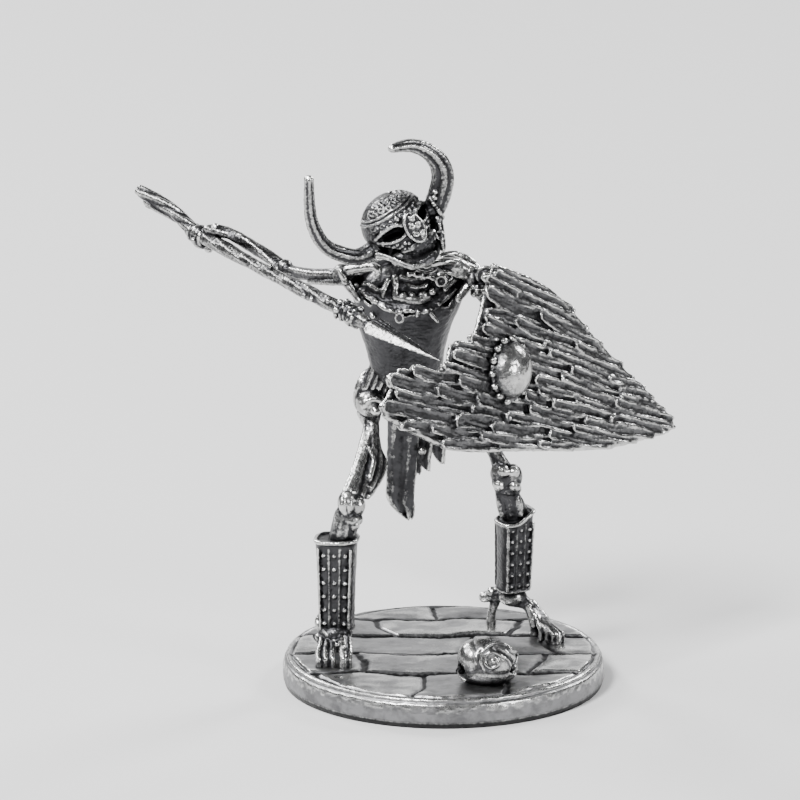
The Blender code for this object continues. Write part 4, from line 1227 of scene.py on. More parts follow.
def cast_shield_arm_piece():
    clay = Clay("shield_arm")
    clay.knob(2.7, -1.4, 35.9, 1.02)
    # Ring boss and rough nugget on the shoulder
    top, low = at(3.85, -2.3, 36.5), at(3.1, -2.9, 35.15)
    clay.egg(top, 0.82)
    for reach, lift, radius in ((0.78, -0.38, 0.20), (0.34, -0.80, 0.16)):
        clay.rod([(top + Vector((cos(a) * reach, lift, sin(a) * reach)) * unit(), radius)
                  for a in (radians(30 * k) for k in range(13))], 2)
    clay.egg(low, 0.62)
    chance = random.Random(4)
    for _ in range(16):
        way = Vector((chance.uniform(-1, 1), chance.uniform(-1, 0.3), chance.uniform(-1, 1))).normalized()
        clay.egg(low + way * 0.56 * unit(), chance.uniform(0.16, 0.30), fine=2)
    clay.bone((2.6, -1.0, 35.6, 0.85), (4.2, 0.8, 32.9, 0.56), (5.8, 2.8, 30.4, 0.54), (6.3, 3.4, 29.3, 0.75))
    elbow = at(6.3, 3.4, 29.2)
    clay.egg(elbow, 0.88)
    wrist = left_fist().lerp(elbow, 0.08)
    for lift in (-0.32, 0.32):
        offset = Vector((0, 0, lift * unit()))
        clay.rod([(elbow + offset, 0.46), (left_fist().lerp(elbow, 0.5) + offset, 0.34),
                  (wrist + offset, 0.46)], 4)
    clay.egg(left_fist(), 0.85)
    for i in range(4):
        centre = left_fist() + SHIELD_UP * (i - 1.5) * 0.55 * unit() - SHIELD_FACE * 0.25 * unit()
        clay.rod([(centre - SHIELD_ALONG * 0.75 * unit(), 0.29), (centre + SHIELD_FACE * 0.35 * unit(), 0.29),
                  (centre + SHIELD_ALONG * 0.75 * unit(), 0.29)], 3)
    # Poured joint between fist and shield
    clay.rod([(left_fist(), 0.6), (left_fist() + SHIELD_FACE * (LEFT_FIST_RADIUS * unit() + GRIP_GAP * 1.2),
                                   0.5)], 1)
    return clay.fuse(cast_skin)


def add_greave(clay, top, bottom, widths, turn, wave):
    """A stiff, squarish shin guard with a rolled rim, upright ribs and columns of studs, front and back."""
    spin = Matrix.Rotation(turn, 3, "Z")
    across, deep = spin @ Vector((1, 0, 0)), spin @ Vector((0, 1, 0))

    def half(share):
        return widths[0] + (widths[1] - widths[0]) * share

    def rim_lift(angle):
        return wave * tanh(2.2 * cos(angle - 0.25)) * unit()

    rings = []
    for i in range(31):
        share = i / 30
        grow = 1.0 - 0.03 * sin(pi * share)
        wide = half(share) * grow * unit()
        rings.append((bottom.lerp(top, share), across * wide, deep * wide * 0.88, 3.2))

    def shaped(place, share, angle):
        return place + Vector((0, 0, rim_lift(angle) * max(0.0, (share - 0.75) / 0.25)))

    clay.roll(rings, 64, shaped)
    for level, radius in ((1.0, 0.21), (0.02, 0.14)):
        wide = half(level) * unit()
        rim = []
        for k in range(37):
            angle = 2 * pi * k / 36
            c, s = cos(angle), sin(angle)
            reach = (abs(c) ** 3.2 + abs(s) ** 3.2) ** (-1 / 3.2)
            rim.append((bottom.lerp(top, level) + (across * c + deep * s * 0.88) * reach * wide
                        + Vector((0, 0, rim_lift(angle) if level == 1.0 else 0.0)), radius))
        clay.rod(rim, 2)
    for face in (-1, 1):
        for offset in (-0.80, -0.27, 0.27, 0.80):
            rib = []
            for k in range(5):
                share = 0.05 + 0.88 * k / 4
                wide = half(share) * unit()
                rib.append((bottom.lerp(top, share) + across * wide * offset + deep * wide * 0.86 * face,
                            0.14))
            clay.rod(rib, 2)
        studs = []
        for row in range(6):
            share = 0.10 + 0.76 * row / 5
            wide = half(share) * unit()
            for offset in (-0.55, 0.0, 0.55):
                studs.append(bottom.lerp(top, share) + across * wide * offset + deep * wide * 0.87 * face)
        clay.balls(studs, 0.205)


def press_down(clay, place, radius):
    """The poured joint between a foot and the stones under it."""
    sole = place.copy()
    sole.z = sizes().base_height - 0.05 * unit()
    clay.rod([(place, radius), (sole, radius * 1.1)], 1)


def add_toe(clay, *stations):
    clay.bone(*stations)
    press_down(clay, at(*stations[-1][:3]), stations[-1][3])


def add_right_leg(clay):
    # Thigh bone, the strap that bows out beside it, and the dried flesh between them
    clay.bone((-6.5, 3.3, 22.2, 0.90), (-6.95, 1.8, 19.8, 0.64), (-7.85, -0.8, 17.4, 0.58),
              (-8.6, -2.9, 15.6, 0.80))
    clay.bone((-7.2, 2.3, 20.8, 0.26), (-7.6, 1.0, 19.2, 0.30), (-8.4, -1.2, 17.2, 0.30),
              (-9.1, -2.9, 15.8, 0.36))
    clay.bone((-6.3, 2.6, 21.2, 0.34), (-6.15, 1.9, 18.9, 0.32), (-5.5, 1.0, 17.3, 0.34),
              (-6.1, -0.5, 16.1, 0.30), (-7.1, -2.0, 15.2, 0.40))
    clay.bone((-6.6, 2.2, 20.8, 0.50), (-6.7, 0.9, 18.5, 0.62), (-7.1, -0.8, 16.7, 0.62),
              (-7.9, -2.4, 15.3, 0.66))
    clay.bone((-6.9, 0.2, 19.2, 0.18), (-6.5, -0.3, 18.0, 0.22), (-6.9, -1.5, 16.6, 0.20))
    clay.bone((-6.4, 2.0, 20.2, 0.40), (-6.2, 1.1, 18.3, 0.52), (-6.3, 0.2, 17.0, 0.55),
              (-7.0, -1.6, 15.8, 0.50))
    # Knee: cap in two lobes, the joint's heads, and the head of the shin
    clay.egg(at(-8.85, -3.2, 14.9), 1.00, 0.90, 1.25)
    clay.bone((-9.3, -3.8, 15.35, 0.30), (-9.35, -3.9, 14.7, 0.36), (-9.1, -3.8, 14.0, 0.30))
    clay.bone((-8.7, -3.8, 15.3, 0.26), (-8.65, -3.95, 14.7, 0.30), (-8.75, -3.8, 14.1, 0.24))
    clay.egg(at(-8.05, -3.2, 14.6), 0.80, 0.78, 1.05)
    clay.egg(at(-8.65, -3.3, 13.3), 1.20, 0.95, 0.80)
    clay.knob(-9.6, -3.3, 12.9, 0.66)
    clay.knob(-8.3, -3.7, 12.9, 0.55)
    clay.bone((-9.0, -3.0, 13.6, 1.18), (-9.2, -3.0, 12.4, 1.25), (-9.6, -2.7, 10.8, 1.15))


LEFT_KNEE_CAPS = ((5.55, 2.15, 16.35), (6.5, 2.15, 16.25), (5.15, 2.25, 15.0), (6.6, 2.2, 14.9))


def add_left_leg(clay):
    clay.bone((2.2, 4.7, 22.4, 0.95), (3.2, 4.5, 20.2, 0.70), (4.7, 3.7, 17.8, 0.66), (5.5, 3.1, 16.2, 0.95))
    clay.bone((2.9, 3.9, 21.0, 0.30), (4.3, 3.3, 18.9, 0.32), (5.6, 2.7, 17.0, 0.38))
    clay.egg(at(5.75, 3.0, 15.3), 1.30, 1.05, 1.45)
    for x, y, z, wide, high in ((5.25, 2.75, 16.0, 0.92, 1.15), (6.45, 2.70, 15.7, 0.90, 1.20),
                                (6.0, 2.75, 14.5, 1.25, 0.85)):
        clay.egg(at(x, y, z), wide, 0.85, high)
    clay.balls([at(*place) for place in LEFT_KNEE_CAPS], 0.60)
    clay.bone((5.8, 3.1, 14.4, 1.10), (6.1, 3.4, 13.2, 1.22), (6.5, 3.8, 12.2, 1.25), (6.6, 4.1, 11.0, 1.15))
    for x in (5.1, 5.9, 6.7):
        clay.bone((x, 2.7, 14.2, 0.30), (x + 0.2, 2.6, 13.1, 0.42), (x + 0.4, 2.9, 12.0, 0.38), steps=3)


def cast_right_leg_piece():
    clay = Clay("right_leg")
    add_right_leg(clay)
    add_greave(clay, at(-9.9, -2.7, 11.3), at(-9.95, -1.1, 2.1), (1.62, 1.92), radians(-8), 0.05)
    # Ankle, its outer knob, heel, three narrow toes and the broad great toe
    clay.egg(at(-10.0, -1.7, 1.9), 1.55, 1.35, 1.0)
    clay.bone((-11.4, -1.5, 3.4, 0.30), (-11.6, -1.7, 2.9, 0.42), (-11.2, -2.1, 2.2, 0.46),
              (-10.7, -2.7, 1.8, 0.40))
    clay.bone((-11.6, -2.2, 1.6, 0.40), (-10.8, -3.0, 1.3, 0.36), (-10.1, -3.2, 1.5, 0.30))
    clay.bone((-9.9, -0.6, 1.4, 0.85), (-9.9, 0.4, 0.75, 0.62))
    press_down(clay, at(-9.9, 0.2, 0.5), 0.55)
    for x, tip, radius in ((-11.3, -11.6, 0.27), (-10.75, -10.95, 0.27), (-10.2, -10.3, 0.28)):
        add_toe(clay, (x, -2.4, 1.6, 0.36), (x - 0.1, -3.6, 1.2, radius), (tip, -4.4, 0.75, radius * 1.15),
                (tip, -5.0, 0.35, radius))
    add_toe(clay, (-9.5, -2.6, 1.7, 0.5), (-9.35, -3.9, 1.25, 0.44), (-9.3, -4.7, 0.75, 0.46),
            (-9.25, -5.3, 0.35, 0.40))
    add_toe(clay, (-8.9, -2.6, 1.5, 0.4), (-8.8, -3.9, 1.1, 0.34), (-8.75, -4.7, 0.7, 0.36),
            (-8.8, -5.2, 0.35, 0.32))
    clay.knob(-9.9, -4.3, 1.5, 0.20)
    clay.knob(-9.2, -4.5, 1.35, 0.20)
    return clay.fuse(cast_skin)


def cast_left_leg_piece():
    clay = Clay("left_leg")
    add_left_leg(clay)
    add_greave(clay, at(6.65, 3.9, 11.5), at(6.5, 5.9, 3.7), (1.42, 1.62), radians(25), 0.55)
    # Heel knobs, the arch over the stones, the steep instep and five toes
    clay.egg(at(6.5, 6.0, 3.0), 1.35, 1.2, 0.95)
    clay.bone((6.3, 6.4, 2.9, 0.75), (4.9, 7.1, 2.75, 0.55), (3.85, 7.5, 2.45, 0.55))
    clay.knob(4.6, 7.1, 3.1, 0.50)
    clay.bone((5.0, 7.2, 2.4, 0.50), (4.6, 7.4, 1.2, 0.42), (4.5, 7.5, 0.4, 0.42))
    press_down(clay, at(4.5, 7.5, 0.4), 0.45)
    clay.bone((6.6, 6.0, 2.8, 0.80), (7.9, 5.6, 2.3, 0.60), (8.35, 5.2, 1.3, 0.52), (8.6, 4.9, 0.4, 0.50))
    press_down(clay, at(8.6, 4.9, 0.4), 0.45)
    clay.bone((8.0, 5.0, 2.3, 0.30), (8.3, 4.75, 1.4, 0.30), (8.55, 4.4, 0.6, 0.28))
    tips = ((9.2, 3.4), (9.8, 2.9), (10.3, 2.5), (10.75, 2.4), (11.05, 2.8))
    for i, (x, y) in enumerate(tips):
        add_toe(clay, (7.7 + 0.15 * i, 5.5 + 0.12 * i, 2.3, 0.42),
                (8.7 + 0.22 * i, 4.7 + 0.12 * i, 1.4 - 0.08 * i, 0.34),
                ((x + 8.9) / 2, (y + 4.2) / 2 + 0.1 * i, 0.85, 0.33), (x, y, 0.30, 0.29))
    return clay.fuse(cast_skin)


# The shield's outline from the boss, in shares of its length and width, clockwise from its ragged end's top.
OUTLINE = (
    (-0.095, 0.500), (0.036, 0.480), (0.145, 0.425), (0.302, 0.245), (0.457, 0.090), (0.598, -0.063),
    (0.515, -0.166), (0.349, -0.290), (0.077, -0.410), (-0.163, -0.497), (-0.395, -0.430),
    (-0.404, -0.380), (-0.368, -0.165), (-0.213, -0.130), (-0.206, 0.035), (-0.136, 0.050), (-0.122, 0.190),
    (-0.113, 0.335),
)
# How many of the outline's points make its whole edge. The rest make the ragged end.
WHOLE_EDGE = 11
POINT_SHARE = 0.598
POINT_UP_SHARE = -0.063
FAN_SHARE = -0.13
FAN = 0.42


def inside_outline(along, up):
    crossings = 0
    for (a, b), (c, d) in zip(OUTLINE, OUTLINE[1:] + OUTLINE[:1]):
        if (b > up) != (d > up) and along < a + (c - a) * (up - b) / (d - b):
            crossings += 1
    return crossings % 2 == 1


def fanned(along, up):
    """Boards draw together towards the shield's point; both values are shares."""
    narrow = 1 - FAN * (along - FAN_SHARE) / (POINT_SHARE - FAN_SHARE)
    return POINT_UP_SHARE + (up - POINT_UP_SHARE) * narrow


def add_board(clay, chance, lane, wide_share, low, high):
    """One split board: a thin tongue with round ends and a raised, broken rim, tilted like a shingle."""
    size = sizes()
    lean = chance.uniform(-0.22, 0.22) * wide_share
    wander = chance.uniform(0, 9)
    slope = chance.uniform(0.02, 0.20) * MM
    narrow = chance.uniform(0.78, 1.04)
    half = size.shield_width * wide_share / 2
    reach = (high - low) * size.shield_length
    rounding = half * narrow / reach

    def place(along_share, side, out):
        """A point of the board: share of its length, share of its half width, and height over its middle."""
        share = low + (high - low) * along_share
        waver = 0.10 * sin(5 * along_share + wander) * wide_share
        up = fanned(share, lane) + lean * (along_share - 0.5) + waver
        wide = (fanned(share, lane + wide_share / 2) - fanned(share, lane - wide_share / 2)) / 2 * narrow
        lift = slope * (1 - 2 * along_share)
        return on_shield(share * size.shield_length, (up + wide * side) * size.shield_width, lift + out)

    thick = size.shield_thickness
    rings = []
    for k in range(25):
        share = k / 24
        end = min(share, 1 - share) / rounding
        full = sqrt(max(0.04, 1 - max(0.0, 1 - end) ** 2))
        middle, edge = place(share, 0, -0.06 * thick), place(share, full, -0.06 * thick)
        rings.append((middle, SHIELD_FACE * thick * 0.30, edge - middle, 5.0))
    clay.roll(rings, 18)
    # The rim goes up one side, round the end, down the other side and round again
    loop = [(rounding + (1 - 2 * rounding) * k / 12, 1.0) for k in range(12)]
    loop += [(1 - rounding + rounding * sin(pi * k / 8), cos(pi * k / 8)) for k in range(8)]
    loop += [(1 - rounding - (1 - 2 * rounding) * k / 12, -1.0) for k in range(12)]
    loop += [(rounding - rounding * sin(pi * k / 8), -cos(pi * k / 8)) for k in range(9)]
    rim = []
    for k, (share, side) in enumerate(loop):
        broken = max(-0.22, 0.14 * sin(0.55 * k + wander) + 0.08 * sin(1.7 * k + 2 * wander))
        rim.append((place(share, side * 0.86, thick * (0.26 + broken * 0.5)), 0.125 + 0.03 * sin(0.9 * k)))
    clay.rod(rim, 1)
    for _ in range(chance.randrange(3)):
        start, stop = sorted((chance.uniform(0.12, 0.5), chance.uniform(0.5, 0.9)))
        side = chance.uniform(-0.45, 0.45)
        clay.rod([(place(start + (stop - start) * k / 4, side + 0.08 * sin(2 * k + wander), thick * 0.23),
                   0.09) for k in range(5)], 2)


def add_backing(clay):
    """The thin plate behind the boards, cut to the outline, with a rim along its whole outer edge."""
    size = sizes()
    shrunk = [(along * 0.985 + POINT_SHARE * 0.004, up * 0.985) for along, up in OUTLINE]
    corners = []
    for out in (-0.22, 0.10):
        corners.extend(on_shield(along * size.shield_length, up * size.shield_width,
                                 out * size.shield_thickness)
                       for along, up in shrunk)
    count = len(shrunk)
    faces = [tuple(range(count))[::-1], tuple(range(count, 2 * count))]
    faces += [(i, (i + 1) % count, (i + 1) % count + count, i + count) for i in range(count)]
    plate = put_down("backing", corners, [], faces)
    close_up(plate)
    clay.parts.append(plate)
    rim = [(on_shield(along * size.shield_length, up * size.shield_width, 0.02 * MM), 0.26 + 0.04 * (i % 2))
           for i, (along, up) in enumerate(shrunk[:WHOLE_EDGE])]
    clay.rod(rim, 5)


def board_skin(point):
    """Grain that runs along the boards, and the lumps of the casting."""
    place = point * MM - on_shield(0, 0)
    along, up, out = (place.dot(way) * 1000 for way in (SHIELD_ALONG, SHIELD_UP, SHIELD_FACE))
    grain = noise_at(along * 0.55, up * 5.5, out * 3.0)
    tear = noise_at(along * 1.6, up * 9.0, out * 3.0 + 7)
    return 0.045 * grain + 0.030 * tear + 0.035 * noise.noise(point * 3.3) + 0.012 * noise.noise(point * 8.5)


def cast_shield_piece():
    chance = random.Random(7)
    clay = Clay("plank_shield")
    size = sizes()
    add_backing(clay)
    rows = round(size.shield_width / size.board_width)
    widths = [chance.uniform(0.70, 1.45) for _ in range(rows - 1)]
    edge = -0.5
    for width in widths:
        wide_share = width / sum(widths)
        lane = edge + wide_share / 2
        edge += wide_share
        marks = [i / 120 * 1.04 - 0.42 for i in range(121)]
        held = [mark for mark in marks if inside_outline(mark, fanned(mark, lane))]
        if not held:
            continue
        start = held[0] + chance.uniform(-0.018, 0.024)
        length = held[-1] - start + 0.006
        count = max(1, round(length * size.shield_length / (size.board_width * chance.uniform(5.6, 9.0))))
        cuts = [0.0] + sorted((i + chance.uniform(-0.38, 0.38)) / count for i in range(1, count)) + [1.0]
        for low, high in zip(cuts, cuts[1:]):
            add_board(clay, chance, lane, wide_share, start + length * low - 0.006,
                      start + length * high + 0.010)
    return clay.fuse(board_skin)


# The boss sits a little below the middle of the boards, and is taller than wide.
BOSS_DROP = -0.0004
BOSS_TALL = 1.13


def cast_boss_piece():
    clay = Clay("shield_boss")
    size = sizes()
    foot = size.shield_thickness / 2
    reach = size.boss_diameter / 2

    def on_boss(share, angle, out):
        return on_shield(share * reach * cos(angle), BOSS_DROP + share * reach * BOSS_TALL * sin(angle), out)

    across, tall = SHIELD_ALONG * reach, SHIELD_UP * reach * BOSS_TALL
    rings = [(on_boss(0, 0, 0), across, tall, 2.0)]
    for i in range(25):
        angle = pi / 2 * i / 24
        wide = 0.96 * cos(angle) + 0.01
        rings.append((on_boss(0, 0, foot + size.boss_height * 0.94 * sin(angle)), across * wide, tall * wide,
                      2.0))
    clay.roll(rings, 48)
    clay.rod([(on_boss(0.99, radians(12 * k), foot * 0.9), 0.20) for k in range(31)], 1)
    # Studs over the ragged side, worn flat on the other
    clay.balls([on_boss(1.10, radians(100 + 24 * k), foot + 0.20 * MM) for k in range(8)], 0.36)
    clay.balls([on_boss(1.08, radians(-60 + 24 * k), foot) for k in range(6)], 0.26)
    return clay.fuse(lambda point: layered(point, (0.026, 3.0), (0.014, 8.0)))


# Flagstones: the course edges run across the base, and each course has its own cross joints. All are
# shares of the base's radius.
COURSES = (-1.05, -0.44, -0.04, 0.32, 0.68, 1.05)
CROSS_JOINTS = ((-0.62, -0.22, 0.40), (-0.50, 0.52), (-0.72, 0.10, 0.66), (-0.30, 0.42), (-0.05,))
STONE_EDGE = 0.922
LEDGE = 0.957
BASE_STEPS = 520


def joint_gap(x, y):
    """Distance in base radii from (x, y) to the nearest joint, and the number of the stone there."""
    wx = x + 0.110 * noise_at(x * 3, y * 3, 1.7) + 0.012 * noise_at(x * 15, y * 15, 3.1)
    wy = y + 0.085 * noise_at(x * 2.6, y * 2.6, 8.2) + 0.012 * noise_at(x * 15, y * 15, 5.9)
    course = 0
    while course < len(COURSES) - 2 and wy > COURSES[course + 1]:
        course += 1
    gap = min(abs(wy - COURSES[course]), abs(wy - COURSES[course + 1]))
    stone = 0
    for joint in CROSS_JOINTS[course]:
        slant = joint + 0.16 * (wy - COURSES[course]) * (1 if stone % 2 else -1)
        gap = min(gap, abs(wx - slant))
        if wx > slant:
            stone += 1
    return gap, course * 7 + stone


def eased(value):
    value = max(0.0, min(1.0, value))
    return value * value * (3 - 2 * value)


def stone_height(x, y):
    """Height of the paving in metres against the base's full height, at (x, y) in base radii."""
    size = sizes()
    radius = size.base_diameter / 2
    gap, stone = joint_gap(x, y)
    chance = random.Random(stone)
    tilt_x, tilt_y, sunk = chance.uniform(-0.12, 0.12), chance.uniform(-0.12, 0.12), chance.uniform(0, 0.14)
    worn = 0.16 * noise_at(x * 3.4, y * 3.4, stone) + 0.035 * noise_at(x * 9, y * 9, stone)
    chips = 0.05 * max(0.0, noise_at(x * 16, y * 16, stone + 0.5) - 0.25)
    pillow = -0.10 * (1 - eased(gap * radius / 0.0016))
    top = min(0.0, (-sunk - 0.03 + worn - chips + pillow + tilt_x * x + tilt_y * y)) * MM
    round_edge = eased((gap * radius - 0.00004) / 0.00034)
    height = top * round_edge - size.joint_depth * 1.1 * (1 - round_edge)
    # The stones break off short of the rim and leave a ledge
    reach = hypot(x, y)
    turn = atan2(y, x)
    ragged = 0.016 * noise_at(cos(turn) * 4, sin(turn) * 4, 0.3)
    ragged += 0.009 * noise_at(cos(turn) * 19, sin(turn) * 19, 4.4)
    edge = eased((reach - (STONE_EDGE + ragged)) / 0.012)
    ledge = (-0.36 + 0.14 * eased((reach - 0.938) / 0.015) + 0.05 * noise_at(x * 12, y * 12, 7)) * MM
    return height * (1 - edge) + ledge * edge


def cast_base_piece():
    """Turned plinth: the profile is screwed round, and the stones are worked into its top."""
    size = sizes()
    radius, height = size.base_diameter / 2, size.base_height
    inner = [radius * 0.80 * i / 46 for i in range(47)]
    outer = [radius * (0.80 + (LEDGE - 0.80) * i / 46) for i in range(1, 47)]
    profile = [(reach, height) for reach in inner + outer]
    shoulder = height - 0.22 * MM
    top_inset, foot_inset, groove_depth = radius * (1 - LEDGE), 0.22 * MM, 0.16 * MM
    for i in range(35):
        share = i / 34
        if share < 0.55:
            inset = top_inset * (1 - sqrt(1 - ((0.55 - share) / 0.55) ** 2 * 0.97))
        else:
            inset = foot_inset * ((share - 0.55) / 0.45) ** 4
        groove = groove_depth * exp(-((share - 0.13) / 0.04) ** 2)
        profile.append((radius - inset - groove, shoulder * (1 - share)))
    profile += [(radius * 0.5, 0.0), (0.0, 0.0)]
    edges = [(i, i + 1) for i in range(len(profile) - 1)]
    base = put_down("flagstone_base", [(reach, 0, z) for reach, z in profile], edges, [])
    apply(base, "SCREW", steps=BASE_STEPS, render_steps=BASE_STEPS, axis="Z", use_merge_vertices=True,
          merge_threshold=MERGE_DISTANCE, use_normal_calculate=True)
    close_up(base)
    for vertex in base.data.vertices:
        x, y, z = vertex.co
        if z > height - 1e-6:
            vertex.co.z = height + stone_height(x / radius, y / radius)
        elif z > 1e-6:
            point = vertex.co * 1000
            pull = layered(point, (0.035, 0.8), (0.026, 2.6), (0.030, 6.0))
            out = Vector((x, y, 0)).normalized()
            vertex.co += out * (pull - 0.045) * MM
            if z > 0.3 * MM:
                vertex.co.z += 0.05 * noise.noise(point * 0.7) * MM * min(1.0, z / height * 1.5)
    base.data.update()
    thin(base, BASE_TRIANGLES)
    return base


# The snail shell's swellings: centre and radii, in shares of its length, from its own place on the stones.
SHELL_SWELLS = (
    ((-0.02, 0.05, 0.17), (0.49, 0.38, 0.23)),
    ((-0.235, 0.02, 0.335), (0.265, 0.33, 0.275)),
    ((0.085, -0.05, 0.33), (0.345, 0.30, 0.285)),
    ((-0.045, 0.02, 0.345), (0.41, 0.33, 0.305)),
)
SPIRE = (0.07, 0.385)
SHELL_TALL = 1.12
# Crests of the spire as seen from its front: degrees round the spire, and reach in shares of the length.
OUTER_CREST = ((-38, 0.43), (-12, 0.385), (15, 0.325), (45, 0.275), (90, 0.235), (135, 0.22), (180, 0.205),
               (225, 0.20))
INNER_CREST = ((-18, 0.30), (5, 0.235), (25, 0.165), (55, 0.142), (95, 0.142), (147, 0.147), (200, 0.13),
               (260, 0.10), (330, 0.085), (400, 0.07))
SIDE_CREST = ((128, 0.245), (150, 0.275), (172, 0.285), (190, 0.28))


def snail_place():
    radius = sizes().base_diameter / 2
    return Vector((0.275 * radius, -0.655 * radius, sizes().base_height))


def shell_front(x, z):
    """How far to the front the swellings reach at (x, z), in shares of the shell's length."""
    front = 0.30
    for (cx, cy, cz), (rx, ry, rz) in SHELL_SWELLS:
        inside = 1 - ((x - cx) / rx) ** 2 - ((z - cz) / rz) ** 2
        if inside > 0:
            front = min(front, cy - ry * sqrt(inside))
    return front


def cast_snail_piece():
    """A shell that lies with its spire to the viewer: swelling whorls, coiling seams and a lipped mouth."""
    clay = Clay("snail_shell")
    size = sizes().snail_length
    rest = snail_place()
    for centre, radii in SHELL_SWELLS:
        clay.ball(rest + Vector(centre) * size, [r * size for r in radii], fine=4)

    def crest(rows, thick):
        line = []
        for angle, reach in rows:
            x = SPIRE[0] + reach * cos(radians(angle))
            z = SPIRE[1] + reach * 0.92 * sin(radians(angle))
            line.append((rest + Vector((x, shell_front(x, z) + 0.004, z)) * size, thick))
        clay.rod(line, 5)

    crest(OUTER_CREST, 0.16)
    crest(INNER_CREST, 0.15)
    crest(SIDE_CREST, 0.12)
    tip = Vector((SPIRE[0], shell_front(*SPIRE), SPIRE[1]))
    clay.egg(rest + tip * size, 0.19)
    mouth = Vector((-0.44, -0.10, 0.20))
    lip = [(-0.475, -0.06, 0.30), (-0.49, -0.12, 0.22), (-0.46, -0.20, 0.13), (-0.38, -0.27, 0.09)]
    clay.rod([(rest + Vector(place) * size, 0.17) for place in lip], 5)
    suture = ((-38, 0.37), (-12, 0.335), (5, 0.285), (25, 0.23), (45, 0.205), (75, 0.188), (110, 0.18))

    def shell_skin(point):
        """Fine casting grain, the deep suture between the two crests, and the dark mouth."""
        local = (point * MM - rest) / size
        depth = 0.0
        dx, dz = local.x - SPIRE[0], (local.z - SPIRE[1]) / 0.92
        angle, reach = degrees(atan2(dz, dx)), hypot(dx, dz)
        if local.y < 0 and suture[0][0] < angle < suture[-1][0]:
            for (a, ra), (b, rb) in zip(suture, suture[1:]):
                if a <= angle <= b:
                    middle = ra + (rb - ra) * (angle - a) / (b - a)
                    fade = min(1.0, (suture[-1][0] - angle) / 40)
                    depth = 0.38 * fade * exp(-((reach - middle) / 0.026) ** 2)
        apart = (local - mouth).length
        depth += 0.55 * exp(-(apart / 0.085) ** 2)
        return -depth + 0.020 * noise.noise(point * 2.5) + 0.012 * noise.noise(point * 8)

    shell = clay.fuse(shell_skin)
    bpy.ops.transform.resize(value=(1, 1, SHELL_TALL), center_override=rest)
    bpy.ops.object.transform_apply(location=True, rotation=True, scale=True)
    return shell


def figure_metal():
    return cast_metal("blackened_figure_metal", finish().casting)


def board_metal():
    return cast_metal("blackened_board_metal", finish().boards)


def stone_metal():
    return cast_metal("burnished_stone_metal", finish().stone, wear_and_painted_light=0.9, polish=0.26, grain=1.5,
                      mottle=0.85)


def shell_metal():
    return cast_metal("blackened_shell_metal", finish().boards, polish=0.20)


def blade_highlight_and_groove_patina(points, normals):
    """The lower facet of the blade is painted bright as a highlight, and the grooves of the upper one stay
    black with patina.
    """
    line, tip = spear_line(), spear_tip()
    root = tip - line * sizes().blade_length
    across = line.cross(BLADE_FACING).normalized()
    along = (points - np.array(root)) @ np.array(line) / sizes().blade_length
    side = (points - np.array(root)) @ np.array(across)
    down = np.clip(side / (0.08 * MM), -1, 1)
    blade = np.clip((along - 0.12) / 0.03, 0, 1) * np.clip((1.02 - along) / 0.05, 0, 1)
    level = -side / (sizes().blade_width / 2 * blade_share(np.clip(along, 0.1, 1)))
    grooves = sum(np.exp(-((level - mark) / 0.065) ** 2) for mark in BLADE_GROOVES)
    # Painted highlight on the lower facet; patina in the grooves of the upper one.
    return blade * np.where(down > 0, 0.75 * down, 0.16 - 1.1 * grooves)


def base_wear_joints_and_painted_light(points, normals):
    """The wall is polished, with a painted highlight band round its upper part and painted shade at its foot;
    the joints are black and the stone edges are worn bright.
    """
    radius = sizes().base_diameter / 2
    reach = np.linalg.norm(points[:, :2], axis=1) / radius
    high = points[:, 2] / sizes().base_height
    wall = np.clip((reach - 0.950) / 0.01, 0, 1)
    edge = np.exp(-((reach - 0.935) / 0.020) ** 2) * np.clip(normals[:, 2] * 2, 0, 1)
    found = np.array([joint_gap(x / radius, y / radius) for x, y, _ in points.tolist()])
    top = (1 - wall) * (high > 0.6)
    joints = np.exp(-(found[:, 0] * radius / (0.24 * MM)) ** 2) * top
    streaks = np.array([noise_at(x * 450, y * 1300, 5) for x, y, _ in points.tolist()])
    tones = (0.13 * np.sin(2.3 * found[:, 1]) + 0.30 * streaks) * top
    # Painted highlight band round the upper wall, and painted shade at its foot.
    wall_highlight_and_foot_shade = 0.42 * np.exp(-((high - 0.68) / 0.24) ** 2) - 0.30 - 0.85 * np.exp(-(high / 0.26) ** 2)
    specks = np.array([noise.noise(Vector(point) * 2600) for point in points.tolist()])
    specks *= 0.50 * np.clip((high - 0.40) / 0.25, 0, 1)
    return wall * (wall_highlight_and_foot_shade + specks) + 0.10 * edge + tones - 1.3 * joints


